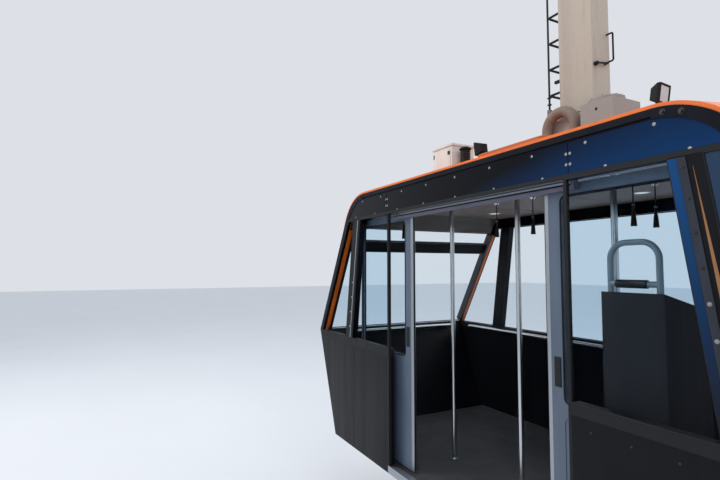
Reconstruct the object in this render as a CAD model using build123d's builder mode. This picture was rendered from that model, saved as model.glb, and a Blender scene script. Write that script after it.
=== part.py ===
"""Aerial tramway cabin with its hanger and its eight-wheel carriage.

Millimetres, +Z up. The origin is on the axis of the track rope, under the middle of the carriage.
X runs along the rope and the doors are on the -Y side. Heights of the cabin and of what stands on
its roof are measured up from the top of the cabin floor; those of the carriage are plain Z.
"""

import math
import os

from build123d import *

os.makedirs("parts", exist_ok=True)

# Whole cabin
cabin_width = 1950.0
rope_above_floor = 5500.0
fit = 0.3
door_side = -1
far_side = 1
ends = (-1, 1)
cutter_margin = 200.0

# Side outline of the cabin body, from the foot up
foot_height = -60.0
waist_height = 950.0
header_height = 2075.0
frieze_height = 187.0
gutter_height = 34.0
gutter_gap = 14.0
end_slope = 29.4
end_bay = 92.3
foot_set_back = 410.0
roof_corner_radius = 420.0

# Walls, panels and glass
wall = 60.0
panel_recess = 4.0
glass = 10.0
gutter_set_back = 10.0
gutter_channel_depth = 20.0
gutter_lip = 14.0
rim_width = 60.0
rim_thickness = 30.0
waist_rail_height = 60.0
frieze_joint_gap = 4.0
frieze_joint_overhang = 14.0

# Roof and ceiling
roof_lip = 18.0
roof_crown = 60.0
roof_skin = 30.0
roof_overhang = 6.0
roof_end_drop = 45.0
ceiling_clearance = 48.0
ceiling_thickness = 12.0

# Doorway and door leaves
doorway_half = 885.0
jamb_width = 18.0
jamb_depth = 24.0
leaf_open_edge = 670.0
leaf_closed_edge = 5.0
leaf_overlap = 15.0
leaf_recess = 100.0
leaf_thickness = 30.0
leaf_edge_round = 9.0
leaf_foot_height = 12.0
leaf_top_gap = 5.0
leaf_nosing = 29.0
leaf_front_stile = 81.0
leaf_back_stile = 30.0
leaf_top_rail = 60.0
leaf_glass_foot = 900.0
leaf_glass = 6.0
leaf_window_corner = 35.0
kick_panel_margin = 70.0
kick_panel_depth = 3.0
rail_height = 50.0
rail_width = 44.0
rail_wall = 5.0
rail_slot = 16.0
rail_above_leaf = 12.0
rail_end_margin = 10.0
shoe_length = 120.0
shoe_height = 24.0
shoe_width = 30.0
shoe_stem = 8.0
header_cover_drop = 45.0

# Leaning posts and mullions
post_width = 139.0
post_lean = 8.3
quarter_light_head = 108.3
mullion_width = 40.0

# Ends
pillar_set_back = 32.0
pillar_width = 63.0
pillar_depth = 70.0
pillar_foot_rise = 50.0
transom_drop = 115.0
transom_height = 95.0
transom_depth = 45.0
buffer_level = 430.0
buffer_spacing = 1300.0
buffer_radius = 58.0
buffer_nose_radius = 42.0
buffer_length = 70.0

# Floor and underframe
floor_thickness = 40.0
underframe_depth = 160.0
channel_width = 70.0
channel_wall = 10.0
channel_spacing = 1000.0
cross_width = 80.0
cross_pitch = 850.0
cross_count = 5

# Inside
pole_diameter = 38.0
pole_flange_radius = 36.0
pole_flange = 8.0
pole_row = -400.0
pole_pitch = 765.0
handrail_diameter = 38.0
handrail_stand_off = 70.0
grip_length = 135.0
grip_radius = 19.0
grip_neck_radius = 9.0
grip_stem_radius = 4.0
grip_taper_share = 0.55
grip_shoulder_share = 0.7
grip_drop = 295.0
console_from_jamb = 45.0
console_length = 320.0
console_from_wall = 120.0
console_depth = 360.0
console_height = 1500.0
console_desk_drop = 90.0
console_wall = 12.0
hoop_tube_radius = 15.0
hoop_length = 250.0
hoop_rise = 205.0
hoop_stand = 45.0
hoop_corner = 85.0

# Carriage
track_rope_radius = 22.5
haul_rope_radius = 13.0
haul_rope_drop = 200.0
wheel_tread_radius = 120.0
tread_hollow = 4.0
wheel_flange_radius = 150.0
wheel_width = 70.0
wheel_hub_radius = 48.0
lining_root_radius = 92.0
lining_half = 24.0
flange_eye_radius = 62.0
flange_rim = 6.0
web_half = 10.0
wheel_pitch = 360.0
rocker_count = 4
axle_radius = 22.0
axle_clearance = 0.1
cheek_gap = 6.0
cheek_thickness = 14.0
cheek_hole_radius = 22.0
axle_head = 8.0
rocker_pin_rise = 57.0
rocker_pin_radius = 28.0
frame_gap = 15.0
frame_plate = 18.0
frame_overrun = 40.0
frame_bottom = 130.0
frame_end_top = 380.0
frame_top = 520.0
frame_top_half_length = 250.0
frame_hole_radius = 52.0
cross_bar_length = 90.0
cross_bar_height = 30.0
cross_bar_drop = 30.0
scraper_thickness = 12.0
scraper_clearance = 6.0
scraper_drop = 26.0
scraper_half_width = 55.0

# Hanger
swing_pin_height = 400.0
swing_pin_radius = 50.0
swing_pin_head = 22.0
swing_pin_collar = 25.0
swing_pin_overrun = 12.0
pin_sleeve_radius = 85.0
hub_clearance = 7.0
column_length = 310.0
column_width = 211.0
column_wall = 15.0
column_offset = 375.0
column_head_radius = 190.0
column_foot_flange = 40.0
column_foot_flange_thickness = 25.0
hub_radius = 110.0
step_pitch = 230.0
step_reach = 127.0
step_rod = 20.0
step_inset = 30.0
step_first_rise = 45.0
step_count = 12
handle_rod = 14.0
handle_reach = 55.0
handle_inset = 30.0
handle_length = 226.0
handle_first_rise = 434.0
handle_pitch = 1000.0
handle_count = 2

# Roof gear
hanger_foot_rise = 442.0
foot_length = 400.0
foot_width = 330.0
foot_chamfer = 45.0
pedestal_length = 263.0
pedestal_depth = 310.0
pedestal_rise = 442.0
pedestal_gap = 6.0
pedestal_set_back = 170.0
pedestal_lid_radius = 121.0
pedestal_lid = 30.0
pedestal_hole_radius = 12.0
pedestal_hole_drop = 60.0
pedestal_hole_depth = 30.0
bow_bend_radius = 136.0
bow_pipe_radius = 42.0
bow_rise = 532.0
bow_shift = -58.0
bow_clearance = 13.0
gland_radius = 20.0
gland_length = 45.0
gland_foot_share = 0.6
cable_radius = 8.0
cable_x = -165.0
cable_clamp_width = 60.0
cable_clamp_height = 24.0
cable_clamp_lap = 14.0
cable_clip_length = 26.0
cable_clip_width = 20.0
cable_clip_height = 12.0
cable_clip_rise = 40.0
cable_clip_pitch = 57.0
cable_box_size = 150.0
cable_box_drop = 250.0
lamp_rod_radius = 14.0
lamp_depth_share = 0.5
lamp_back_share = 0.6
lamp_rim_share = 0.2
equipment_length = 270.0
equipment_width = 240.0
equipment_rise = 312.0
equipment_lid = 18.0
equipment_lid_lip = 10.0
equipment_x = -825.0
equipment_y = -330.0

# Haul-rope clamp
clamp_half_length = 150.0
clamp_plate_inset = 10.0
clamp_plate_top = 260.0
jaw_height = 90.0
jaw_overhang = 45.0
jaw_chamfer = 22.0

# Values that follow from the ones above
side_y = cabin_width / 2
z_floor = -rope_above_floor
roof_edge_height = header_height + frieze_height + gutter_gap + gutter_height
roof_top_height = roof_edge_height + roof_lip + roof_crown
slope_tan = math.tan(math.radians(end_slope))
slope_cos = math.cos(math.radians(end_slope))
leaf_length = doorway_half + leaf_overlap - leaf_closed_edge
leaf_trail = leaf_open_edge + leaf_length
rim_inner_at_header = leaf_trail + end_bay
half_length_waist = rim_inner_at_header + rim_width / slope_cos + (header_height - waist_height) * slope_tan
half_length_foot = half_length_waist - foot_set_back
post_inner_at_header = rim_inner_at_header - quarter_light_head - post_width
foot_tan = foot_set_back / (waist_height - foot_height)
foot_cos = math.cos(math.atan(foot_tan))
roof_corner_turn = math.radians(90.0 - end_slope)
roof_end_height = header_height - roof_end_drop
leaf_top_height = header_height - leaf_top_gap
rail_foot_height = leaf_top_height + rail_above_leaf
ceiling_height = rail_foot_height + rail_height + ceiling_clearance
axle_height = track_rope_radius + wheel_tread_radius
rocker_pin_height = axle_height + rocker_pin_rise
cheek_inner = wheel_width / 2 + cheek_gap
cheek_outer = cheek_inner + cheek_thickness
frame_inner = cheek_outer + frame_gap
frame_outer = frame_inner + frame_plate
frieze_top = roof_edge_height - gutter_height - gutter_gap
column_half = column_width / 2
column_foot_height = roof_top_height + hanger_foot_rise


def slope_x(height, inset=0.0):
    """Half length of the cabin above the waist, inset square to the sloping end."""
    return half_length_waist - (height - waist_height) * slope_tan - inset / slope_cos


def foot_x(height, inset=0.0):
    """Half length of the cabin below the waist, inset square to the tapering end."""
    return half_length_foot + (height - foot_height) * foot_tan - inset / foot_cos


def post_x(height, outward=0.0):
    """Inner edge of a leaning post, or a line further out beside it."""
    lean = math.tan(math.radians(post_lean))
    return post_inner_at_header + (header_height - height) * lean + outward


roof_straight = slope_x(roof_edge_height) - roof_corner_radius * math.tan(roof_corner_turn / 2)


def side_plane(y):
    """Plane of a side profile: local x along the cabin, local y up from the floor, normal to -Y."""
    return Plane(origin=(0, y, z_floor), x_dir=(1, 0, 0), z_dir=(0, -1, 0))


def side_start(side, recess, thickness):
    """Where an extrusion to -Y starts, for a piece set back from the outer side plane."""
    if side == door_side:
        return -side_y + recess + thickness
    return side_y - recess


def end_plane(end):
    """Outer plane of a sloping end: local x across the cabin, local y up the slope from the waist."""
    return Plane(
        origin=(end * half_length_waist, 0, z_floor + waist_height),
        x_dir=(0, end, 0),
        z_dir=(end * slope_cos, 0, math.sin(math.radians(end_slope))),
    )


def up_slope(height):
    """Distance up the sloping end for a height above the floor."""
    return (height - waist_height) / slope_cos


def body_profile(top, inset, corner):
    """Side profile of the cabin body, inset square to its ends, with round roof corners."""
    with BuildSketch() as profile:
        with BuildLine():
            Polyline(
                (slope_x(top, inset), top),
                (slope_x(waist_height, inset), waist_height),
                (foot_x(foot_height, inset), foot_height),
                (-foot_x(foot_height, inset), foot_height),
                (-slope_x(waist_height, inset), waist_height),
                (-slope_x(top, inset), top),
                close=True,
            )
        make_face()
        fillet(profile.vertices().group_by(Axis.Y)[-1], corner)
    return profile.sketch


def crowned_prism(top_above_edge, half_width, length):
    """Solid under the crowned roof line: flat at the edges and higher along the middle."""
    edge = z_floor + roof_edge_height + top_above_edge
    low = z_floor + header_height - 2 * wall
    with BuildPart(mode=Mode.PRIVATE) as prism:
        with BuildSketch(Plane.YZ.offset(-length / 2)):
            with BuildLine():
                ThreePointArc((-half_width, edge), (0, edge + roof_crown), (half_width, edge))
                Polyline((half_width, edge), (half_width, low), (-half_width, low), (-half_width, edge))
            make_face()
        extrude(amount=length)
    return prism.part


def polygon(points):
    """A face through the given corners."""
    with BuildSketch() as face:
        with BuildLine():
            Polyline(*points, close=True)
        make_face()
    return face.sketch


def mirrored(points, end):
    """The same corners at the -X or the +X end."""
    return [(end * x, height) for x, height in points]


def finish(builder, name):
    """Label a finished piece and write it."""
    builder.part.label = name
    export_step(builder.part, f"parts/{name}.step")


# Roof shell: a crowned skin that bends down over both ends and laps over gutters and rims
full_length = 2 * (half_length_waist + cutter_margin)
roof_path_foot = roof_end_height - wall
rim_outer = body_profile(roof_edge_height + fit, -fit, roof_corner_radius)
half_roof = side_y - roof_overhang
with BuildPart() as roof_shell:
    with BuildLine():
        FilletPolyline(
            (slope_x(roof_path_foot), 0, z_floor + roof_path_foot),
            (slope_x(roof_edge_height), 0, z_floor + roof_edge_height),
            (-slope_x(roof_edge_height), 0, z_floor + roof_edge_height),
            (-slope_x(roof_path_foot), 0, z_floor + roof_path_foot),
            radius=roof_corner_radius,
        )
    section_plane = Plane(
        origin=(slope_x(roof_path_foot), 0, z_floor + roof_path_foot),
        x_dir=(0, -1, 0),
        z_dir=(-slope_tan, 0, 1),
    )
    with BuildSketch(section_plane):
        with BuildLine():
            ThreePointArc((-half_roof, roof_lip), (0, roof_lip + roof_crown), (half_roof, roof_lip))
            Polyline((half_roof, roof_lip), (half_roof, -roof_skin), (-half_roof, -roof_skin), (-half_roof, roof_lip))
        make_face()
    sweep()
    for start in (side_y, -side_y + wall + fit):
        with BuildSketch(side_plane(start)):
            add(rim_outer)
        extrude(amount=wall + fit, mode=Mode.SUBTRACT)
    with BuildSketch(Plane.XY.offset(z_floor + foot_height - wall)):
        Rectangle(full_length, 2 * cabin_width)
    extrude(amount=roof_end_height - foot_height + wall, mode=Mode.SUBTRACT)
finish(roof_shell, "roof_shell")

# Gutters: a channel along each straight roof edge, with a shadow gap below
gutter_foot = roof_edge_height - gutter_height - gutter_gap
with BuildPart() as gutters:
    for side in (door_side, far_side):
        section = [
            (0, gutter_foot + gutter_gap),
            (0, roof_edge_height),
            (gutter_lip, roof_edge_height),
            (gutter_lip, roof_edge_height - gutter_channel_depth),
            (wall - gutter_lip, roof_edge_height - gutter_channel_depth),
            (wall - gutter_lip, roof_edge_height),
            (wall, roof_edge_height),
            (wall, gutter_foot + fit),
            (gutter_set_back, gutter_foot + fit),
            (gutter_set_back, gutter_foot + gutter_gap),
        ]
        corners = [(side * (side_y - inward), z_floor + height) for inward, height in section]
        with BuildSketch(Plane.YZ.offset(-roof_straight + fit)):
            add(polygon(corners))
        extrude(amount=2 * (roof_straight - fit))
finish(gutters, "gutters")

# End rims: from the gutter round the roof corner and down the slope to the waist
rim_inner = body_profile(frieze_top, rim_width, roof_corner_radius - rim_width)
rim_face_outer = body_profile(roof_edge_height, 0, roof_corner_radius)
rim_low = waist_height + fit
rim_zone = [
    (roof_straight, rim_low),
    (half_length_waist + wall, rim_low),
    (half_length_waist + wall, roof_edge_height + wall),
    (roof_straight, roof_edge_height + wall),
]
with BuildPart() as end_rims:
    for side in (door_side, far_side):
        with BuildSketch(side_plane(side_start(side, 0, rim_thickness))):
            add(rim_face_outer)
            add(rim_inner, mode=Mode.SUBTRACT)
            add(polygon(mirrored(rim_zone, -1)) + polygon(rim_zone), mode=Mode.INTERSECT)
        extrude(amount=rim_thickness)
finish(end_rims, "end_rims")

# Frieze panels between the gutter and the window line, split in line with the doorway
panel_limit = body_profile(frieze_top - fit, rim_width + fit, roof_corner_radius - rim_width)
joint_half = doorway_half + jamb_width + frieze_joint_overhang
joint_gap = frieze_joint_gap / 2
frieze_spans = [
    # from x, to x
    (-half_length_waist, -joint_half - joint_gap),
    (-joint_half + joint_gap, joint_half - joint_gap),
    (joint_half + joint_gap, half_length_waist),
]
with BuildPart() as frieze_panels:
    for side in (door_side, far_side):
        for start, stop in frieze_spans:
            with BuildSketch(side_plane(side_start(side, panel_recess, wall - panel_recess))):
                add(panel_limit)
                corners = [
                    (start, header_height + fit),
                    (stop, header_height + fit),
                    (stop, roof_edge_height),
                    (start, roof_edge_height),
                ]
                add(polygon(corners), mode=Mode.INTERSECT)
            extrude(amount=wall - panel_recess)
finish(frieze_panels, "frieze_panels")

# Leaning posts between the side windows and the quarter-lights
with BuildPart() as side_posts:
    for side in (door_side, far_side):
        for end in ends:
            corners = [
                (post_x(waist_height), waist_height + fit),
                (post_x(waist_height, post_width), waist_height + fit),
                (post_x(header_height, post_width), header_height - fit),
                (post_x(header_height), header_height - fit),
            ]
            with BuildSketch(side_plane(side_start(side, 0, wall))):
                add(polygon(mirrored(corners, end)))
            extrude(amount=wall)
finish(side_posts, "side_posts")

# Mullions: slim door jambs on the door side, window bars on the far side
with BuildPart() as mullions:
    for end in ends:
        jamb = [
            (doorway_half, fit),
            (doorway_half + jamb_width, fit),
            (doorway_half + jamb_width, header_height - fit),
            (doorway_half, header_height - fit),
        ]
        with BuildSketch(side_plane(side_start(door_side, 0, jamb_depth))):
            add(polygon(mirrored(jamb, end)))
        extrude(amount=jamb_depth)
        bar = [
            (doorway_half, waist_height + fit),
            (doorway_half + mullion_width, waist_height + fit),
            (doorway_half + mullion_width, header_height - fit),
            (doorway_half, header_height - fit),
        ]
        with BuildSketch(side_plane(side_start(far_side, 0, wall))):
            add(polygon(mirrored(bar, end)))
        extrude(amount=wall)
finish(mullions, "mullions")

# Side windows
with BuildPart() as side_glass:
    pane_spans = [
        # side, inner edge of the outer panes
        (door_side, doorway_half + jamb_width + fit),
        (far_side, doorway_half + mullion_width + fit),
    ]
    for side, inner in pane_spans:
        for end in ends:
            corners = [
                (inner, waist_height + fit),
                (post_x(waist_height, -fit), waist_height + fit),
                (post_x(header_height, -fit), header_height - fit),
                (inner, header_height - fit),
            ]
            with BuildSketch(side_plane(side_start(side, panel_recess, glass))):
                add(polygon(mirrored(corners, end)))
            extrude(amount=glass)
    with BuildSketch(side_plane(side_start(far_side, panel_recess, glass))):
        with Locations((0, (waist_height + header_height) / 2)):
            Rectangle(2 * (doorway_half - fit), header_height - waist_height - 2 * fit)
    extrude(amount=glass)
finish(side_glass, "side_glass")

# Quarter-lights between the leaning posts and the end rims
with BuildPart() as quarter_glass:
    for side in (door_side, far_side):
        for end in ends:
            corners = [
                (post_x(waist_height, post_width + fit), waist_height + fit),
                (slope_x(waist_height, rim_width + fit), waist_height + fit),
                (slope_x(header_height, rim_width + fit), header_height - fit),
                (post_x(header_height, post_width + fit), header_height - fit),
            ]
            with BuildSketch(side_plane(side_start(side, panel_recess, glass))):
                add(polygon(mirrored(corners, end)))
            extrude(amount=glass)
finish(quarter_glass, "quarter_glass")

# Waist rails along the sides and across both ends
rail_foot = waist_height - waist_rail_height
rail_top = waist_height
with BuildPart() as waist_rails:
    for end in ends:
        corners = [
            (doorway_half + jamb_width + fit, rail_foot),
            (foot_x(rail_foot), rail_foot),
            (foot_x(rail_top), rail_top),
            (doorway_half + jamb_width + fit, rail_top),
        ]
        with BuildSketch(side_plane(side_start(door_side, 0, wall))):
            add(polygon(mirrored(corners, end)))
        extrude(amount=wall)
        across = [
            (foot_x(rail_foot), rail_foot),
            (foot_x(rail_top), rail_top),
            (foot_x(rail_top) - wall, rail_top),
            (foot_x(rail_foot) - wall, rail_foot),
        ]
        with BuildSketch(side_plane(side_y - wall - fit)):
            add(polygon(mirrored(across, end)))
        extrude(amount=2 * (side_y - wall - fit))
    corners = [
        (-foot_x(rail_foot), rail_foot),
        (foot_x(rail_foot), rail_foot),
        (foot_x(rail_top), rail_top),
        (-foot_x(rail_top), rail_top),
    ]
    with BuildSketch(side_plane(side_start(far_side, 0, wall))):
        add(polygon(corners))
    extrude(amount=wall)
finish(waist_rails, "waist_rails")

# Lower side panels below the waist rail
panel_top = rail_foot - fit
with BuildPart() as side_lower_panels:
    for end in ends:
        corners = [
            (doorway_half + jamb_width + fit, foot_height),
            (foot_x(foot_height), foot_height),
            (foot_x(panel_top), panel_top),
            (doorway_half + jamb_width + fit, panel_top),
        ]
        with BuildSketch(side_plane(side_start(door_side, 0, wall))):
            add(polygon(mirrored(corners, end)))
        extrude(amount=wall)
    corners = [
        (-foot_x(foot_height), foot_height),
        (foot_x(foot_height), foot_height),
        (foot_x(panel_top), panel_top),
        (-foot_x(panel_top), panel_top),
    ]
    with BuildSketch(side_plane(side_start(far_side, 0, wall))):
        add(polygon(corners))
    extrude(amount=wall)
finish(side_lower_panels, "side_lower_panels")

# Lower end panels, leaning in to the foot
with BuildPart() as end_lower_panels:
    for end in ends:
        corners = [
            (foot_x(foot_height), foot_height),
            (foot_x(panel_top), panel_top),
            (foot_x(panel_top) - wall, panel_top),
            (foot_x(foot_height) - wall, foot_height),
        ]
        with BuildSketch(side_plane(side_y - wall - fit)):
            add(polygon(mirrored(corners, end)))
        extrude(amount=2 * (side_y - wall - fit))
finish(end_lower_panels, "end_lower_panels")

# End pillars: the sloping corner pillars behind the end windows
pillar_foot = up_slope(waist_height) + pillar_foot_rise
pillar_head = up_slope(roof_end_height) - fit
pillar_middle = side_y - pillar_set_back - pillar_width / 2
with BuildPart() as end_pillars:
    for end in ends:
        for side in (door_side, far_side):
            with BuildSketch(end_plane(end).offset(-glass - fit)):
                with Locations((side * pillar_middle, (pillar_foot + pillar_head) / 2)):
                    Rectangle(pillar_width, pillar_head - pillar_foot)
            extrude(amount=-pillar_depth)
finish(end_pillars, "end_pillars")

# End windows: one pane across each end, on the outer plane between the rims
pane_half = side_y - rim_thickness - fit
pane_foot = up_slope(waist_height) + glass
pane_head = up_slope(roof_end_height) - fit
with BuildPart() as end_glass:
    for end in ends:
        with BuildSketch(end_plane(end)):
            with Locations((0, (pane_foot + pane_head) / 2)):
                Rectangle(2 * pane_half, pane_head - pane_foot)
        extrude(amount=-glass)
finish(end_glass, "end_glass")

# End transoms: the bar across each end window, seated on the glass between the pillars
transom_half = side_y - pillar_set_back - pillar_width - fit
transom_top = roof_end_height - transom_drop
transom_bottom = transom_top - transom_height
with BuildPart() as end_transoms:
    for end in ends:
        with BuildSketch(end_plane(end).offset(-glass - fit)):
            with Locations((0, (up_slope(transom_bottom) + up_slope(transom_top)) / 2)):
                Rectangle(2 * transom_half, up_slope(transom_top) - up_slope(transom_bottom))
        extrude(amount=-transom_depth)
finish(end_transoms, "end_transoms")

# End buffers: two rubber buffers on each lower end panel
with BuildPart() as end_buffers:
    for end in ends:
        face = Plane(
            origin=(end * foot_x(buffer_level), 0, z_floor + buffer_level),
            x_dir=(0, end, 0),
            z_dir=(end * foot_cos, 0, -foot_cos * foot_tan),
        )
        with BuildSketch(face.offset(fit)):
            with GridLocations(buffer_spacing, 1, 2, 1):
                Circle(buffer_radius)
        extrude(amount=buffer_length / 2)
        with BuildSketch(face.offset(buffer_length / 2)):
            with GridLocations(buffer_spacing, 1, 2, 1):
                Circle(buffer_nose_radius)
        extrude(amount=buffer_length / 2)
finish(end_buffers, "end_buffers")

# Floor deck between the walls
deck_half_length = foot_x(-floor_thickness) - wall - fit
deck_half_width = side_y - wall - fit
with BuildPart() as floor_deck:
    with BuildSketch(Plane.XY.offset(z_floor - floor_thickness)):
        Rectangle(2 * deck_half_length, 2 * deck_half_width)
    extrude(amount=floor_thickness)
finish(floor_deck, "floor_deck")

# Door threshold in the doorway
with BuildPart() as door_threshold:
    with BuildSketch(Plane.XY.offset(z_floor + foot_height)):
        with Locations((0, -side_y + wall / 2)):
            Rectangle(2 * (doorway_half + jamb_width), wall)
    extrude(amount=-foot_height)
finish(door_threshold, "door_threshold")

# Underframe: two channels along the cabin and cross members between them
beam_top = z_floor - floor_thickness - fit
beam_foot = beam_top - underframe_depth
beam_half_length = foot_x(foot_height) - wall
with BuildPart() as underframe:
    for side in (-1, 1):
        web = side * channel_spacing / 2
        flange = side * (channel_spacing / 2 + channel_width)
        inner_web = web + side * channel_wall
        section = [
            (web, beam_foot),
            (flange, beam_foot),
            (flange, beam_foot + channel_wall),
            (inner_web, beam_foot + channel_wall),
            (inner_web, beam_top - channel_wall),
            (flange, beam_top - channel_wall),
            (flange, beam_top),
            (web, beam_top),
        ]
        with BuildSketch(Plane.YZ.offset(-beam_half_length)):
            add(polygon(section))
        extrude(amount=2 * beam_half_length)
    with BuildSketch(Plane.XY.offset(beam_foot + channel_wall)):
        with GridLocations(cross_pitch, 1, cross_count, 1):
            Rectangle(cross_width, channel_spacing - 2 * fit)
    extrude(amount=underframe_depth - 2 * channel_wall)
finish(underframe, "underframe")

# Ceiling panel between the header bands
rail_row = leaf_recess + leaf_thickness / 2
ceiling_door_edge = -side_y + rail_row + rail_width / 2 + fit
ceiling_far_edge = side_y - wall - fit
ceiling_half_length = slope_x(ceiling_height + ceiling_thickness, roof_skin + wall)
with BuildPart() as ceiling_panel:
    with BuildSketch(Plane.XY.offset(z_floor + ceiling_height)):
        with Locations((0, (ceiling_door_edge + ceiling_far_edge) / 2)):
            Rectangle(2 * ceiling_half_length, ceiling_far_edge - ceiling_door_edge)
    extrude(amount=ceiling_thickness)
finish(ceiling_panel, "ceiling_panel")

# Door header: the band inside the doorway that covers the tops of the leaves
header_outer = wall + fit
header_inner = leaf_recess + leaf_thickness / 2 - rail_width / 2 - fit
with BuildPart() as door_header:
    with BuildSketch(Plane.XY.offset(z_floor + header_height - header_cover_drop)):
        with Locations((0, -side_y + (header_outer + header_inner) / 2)):
            Rectangle(2 * (doorway_half + jamb_width), header_inner - header_outer)
    extrude(amount=ceiling_height - header_height + header_cover_drop)
finish(door_header, "door_header")

# Door rail: an open-bottomed channel that the shoes of both leaves run in
rail_half_length = leaf_trail + rail_end_margin
rail_section = [
    (-rail_width / 2, 0),
    (-rail_slot / 2, 0),
    (-rail_slot / 2, rail_wall),
    (-rail_width / 2 + rail_wall, rail_wall),
    (-rail_width / 2 + rail_wall, rail_height - rail_wall),
    (rail_width / 2 - rail_wall, rail_height - rail_wall),
    (rail_width / 2 - rail_wall, rail_wall),
    (rail_slot / 2, rail_wall),
    (rail_slot / 2, 0),
    (rail_width / 2, 0),
    (rail_width / 2, rail_height),
    (-rail_width / 2, rail_height),
]
rail_y = -side_y + rail_row
with BuildPart() as door_rail:
    corners = [(rail_y + across, z_floor + rail_foot_height + up) for across, up in rail_section]
    with BuildSketch(Plane.YZ.offset(-rail_half_length)):
        add(polygon(corners))
    extrude(amount=2 * rail_half_length)
finish(door_rail, "door_rail")

# Door leaves: painted frame on two rail shoes, aluminium nosing along the leading edge, and the window
leaf_names = {-1: "left", 1: "right"}
leaf_start = side_start(door_side, leaf_recess, leaf_thickness)
lead = leaf_open_edge + leaf_nosing
window_inner = lead + leaf_front_stile
window_outer = leaf_trail - leaf_back_stile
window_top = leaf_top_height - leaf_top_rail
kick_top = leaf_glass_foot - kick_panel_margin
shoe_stem_height = rail_above_leaf + rail_wall + fit
for end, hand in leaf_names.items():
    middle = end * (window_inner + window_outer) / 2
    shoe_places = [end * (lead + shoe_length), end * (leaf_trail - shoe_length)]
    with BuildPart() as leaf_frame:
        with BuildSketch(side_plane(leaf_start)):
            with Locations((end * (lead + leaf_trail) / 2, (leaf_foot_height + leaf_top_height) / 2)):
                Rectangle(leaf_trail - lead, leaf_top_height - leaf_foot_height)
            with Locations((middle, (leaf_glass_foot + window_top) / 2)):
                RectangleRounded(
                    window_outer - window_inner,
                    window_top - leaf_glass_foot,
                    leaf_window_corner,
                    mode=Mode.SUBTRACT,
                )
        extrude(amount=leaf_thickness)
        for face in (leaf_start, leaf_start - leaf_thickness + kick_panel_depth):
            with BuildSketch(side_plane(face)):
                with Locations((middle, (leaf_foot_height + kick_panel_margin + kick_top) / 2)):
                    RectangleRounded(
                        window_outer - window_inner,
                        kick_top - leaf_foot_height - kick_panel_margin,
                        leaf_window_corner,
                    )
            extrude(amount=kick_panel_depth, mode=Mode.SUBTRACT)
        with BuildSketch(Plane.XY.offset(z_floor + leaf_top_height)):
            with Locations(*[(place, rail_y) for place in shoe_places]):
                Rectangle(shoe_length, shoe_stem)
        extrude(amount=shoe_stem_height)
        with BuildSketch(Plane.XY.offset(z_floor + leaf_top_height + shoe_stem_height)):
            with Locations(*[(place, rail_y) for place in shoe_places]):
                Rectangle(shoe_length, shoe_width)
        extrude(amount=shoe_height)
    finish(leaf_frame, f"door_{hand}_frame")
    with BuildPart() as leaf_edge:
        with BuildSketch(Plane.XY.offset(z_floor + leaf_foot_height)):
            with Locations((end * (leaf_open_edge + (leaf_nosing - fit) / 2), rail_y)):
                Rectangle(leaf_nosing - fit, leaf_thickness)
        extrude(amount=leaf_top_height - leaf_foot_height)
        fillet(leaf_edge.edges().filter_by(Axis.Z).group_by(Axis.X)[-1 if end < 0 else 0], leaf_edge_round)
    finish(leaf_edge, f"door_{hand}_nosing")
    with BuildPart() as leaf_pane:
        with BuildSketch(side_plane(leaf_start - (leaf_thickness - leaf_glass) / 2)):
            with Locations((middle, (leaf_glass_foot + window_top) / 2)):
                RectangleRounded(
                    window_outer - window_inner - 2 * fit,
                    window_top - leaf_glass_foot - 2 * fit,
                    leaf_window_corner - fit,
                )
        extrude(amount=leaf_glass)
    finish(leaf_pane, f"door_{hand}_glass")

# Grab poles from floor to ceiling
with BuildPart() as grab_poles:
    with BuildSketch(Plane.XY.offset(z_floor + fit)):
        with Locations((0, pole_row)):
            with GridLocations(pole_pitch, 1, 3, 1):
                Circle(pole_diameter / 2)
    extrude(amount=ceiling_height - 2 * fit)
    for foot in (fit, ceiling_height - fit - pole_flange):
        with BuildSketch(Plane.XY.offset(z_floor + foot)):
            with Locations((0, pole_row)):
                with GridLocations(pole_pitch, 1, 3, 1):
                    Circle(pole_flange_radius)
        extrude(amount=pole_flange)
finish(grab_poles, "grab_poles")

# Hand grips on stiff sheathed stems from the ceiling
grip_places = [
    # x, y
    (-1090, -690),
    (-530, -100),
    (-130, -100),
    (690, -100),
    (690, 134),
]
grip_foot_height = ceiling_height - grip_drop
with BuildPart() as hand_grips:
    stem_top = ceiling_height - fit
    grip_top = grip_foot_height + grip_length
    for x, y in grip_places:
        plane = Plane(origin=(x, y, z_floor), x_dir=(1, 0, 0), z_dir=(0, -1, 0))
        with BuildSketch(plane):
            with BuildLine():
                Polyline(
                    (0, grip_foot_height),
                    (grip_radius, grip_foot_height),
                    (grip_radius * grip_shoulder_share, grip_foot_height + grip_length * grip_taper_share),
                    (grip_neck_radius, grip_foot_height + grip_length * grip_shoulder_share),
                    (grip_neck_radius, grip_top),
                    (grip_stem_radius, grip_top),
                    (grip_stem_radius, stem_top),
                    (0, stem_top),
                    close=True,
                )
            make_face()
        revolve(axis=Axis((x, y, 0), (0, 0, 1)))
finish(hand_grips, "hand_grips")

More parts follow.
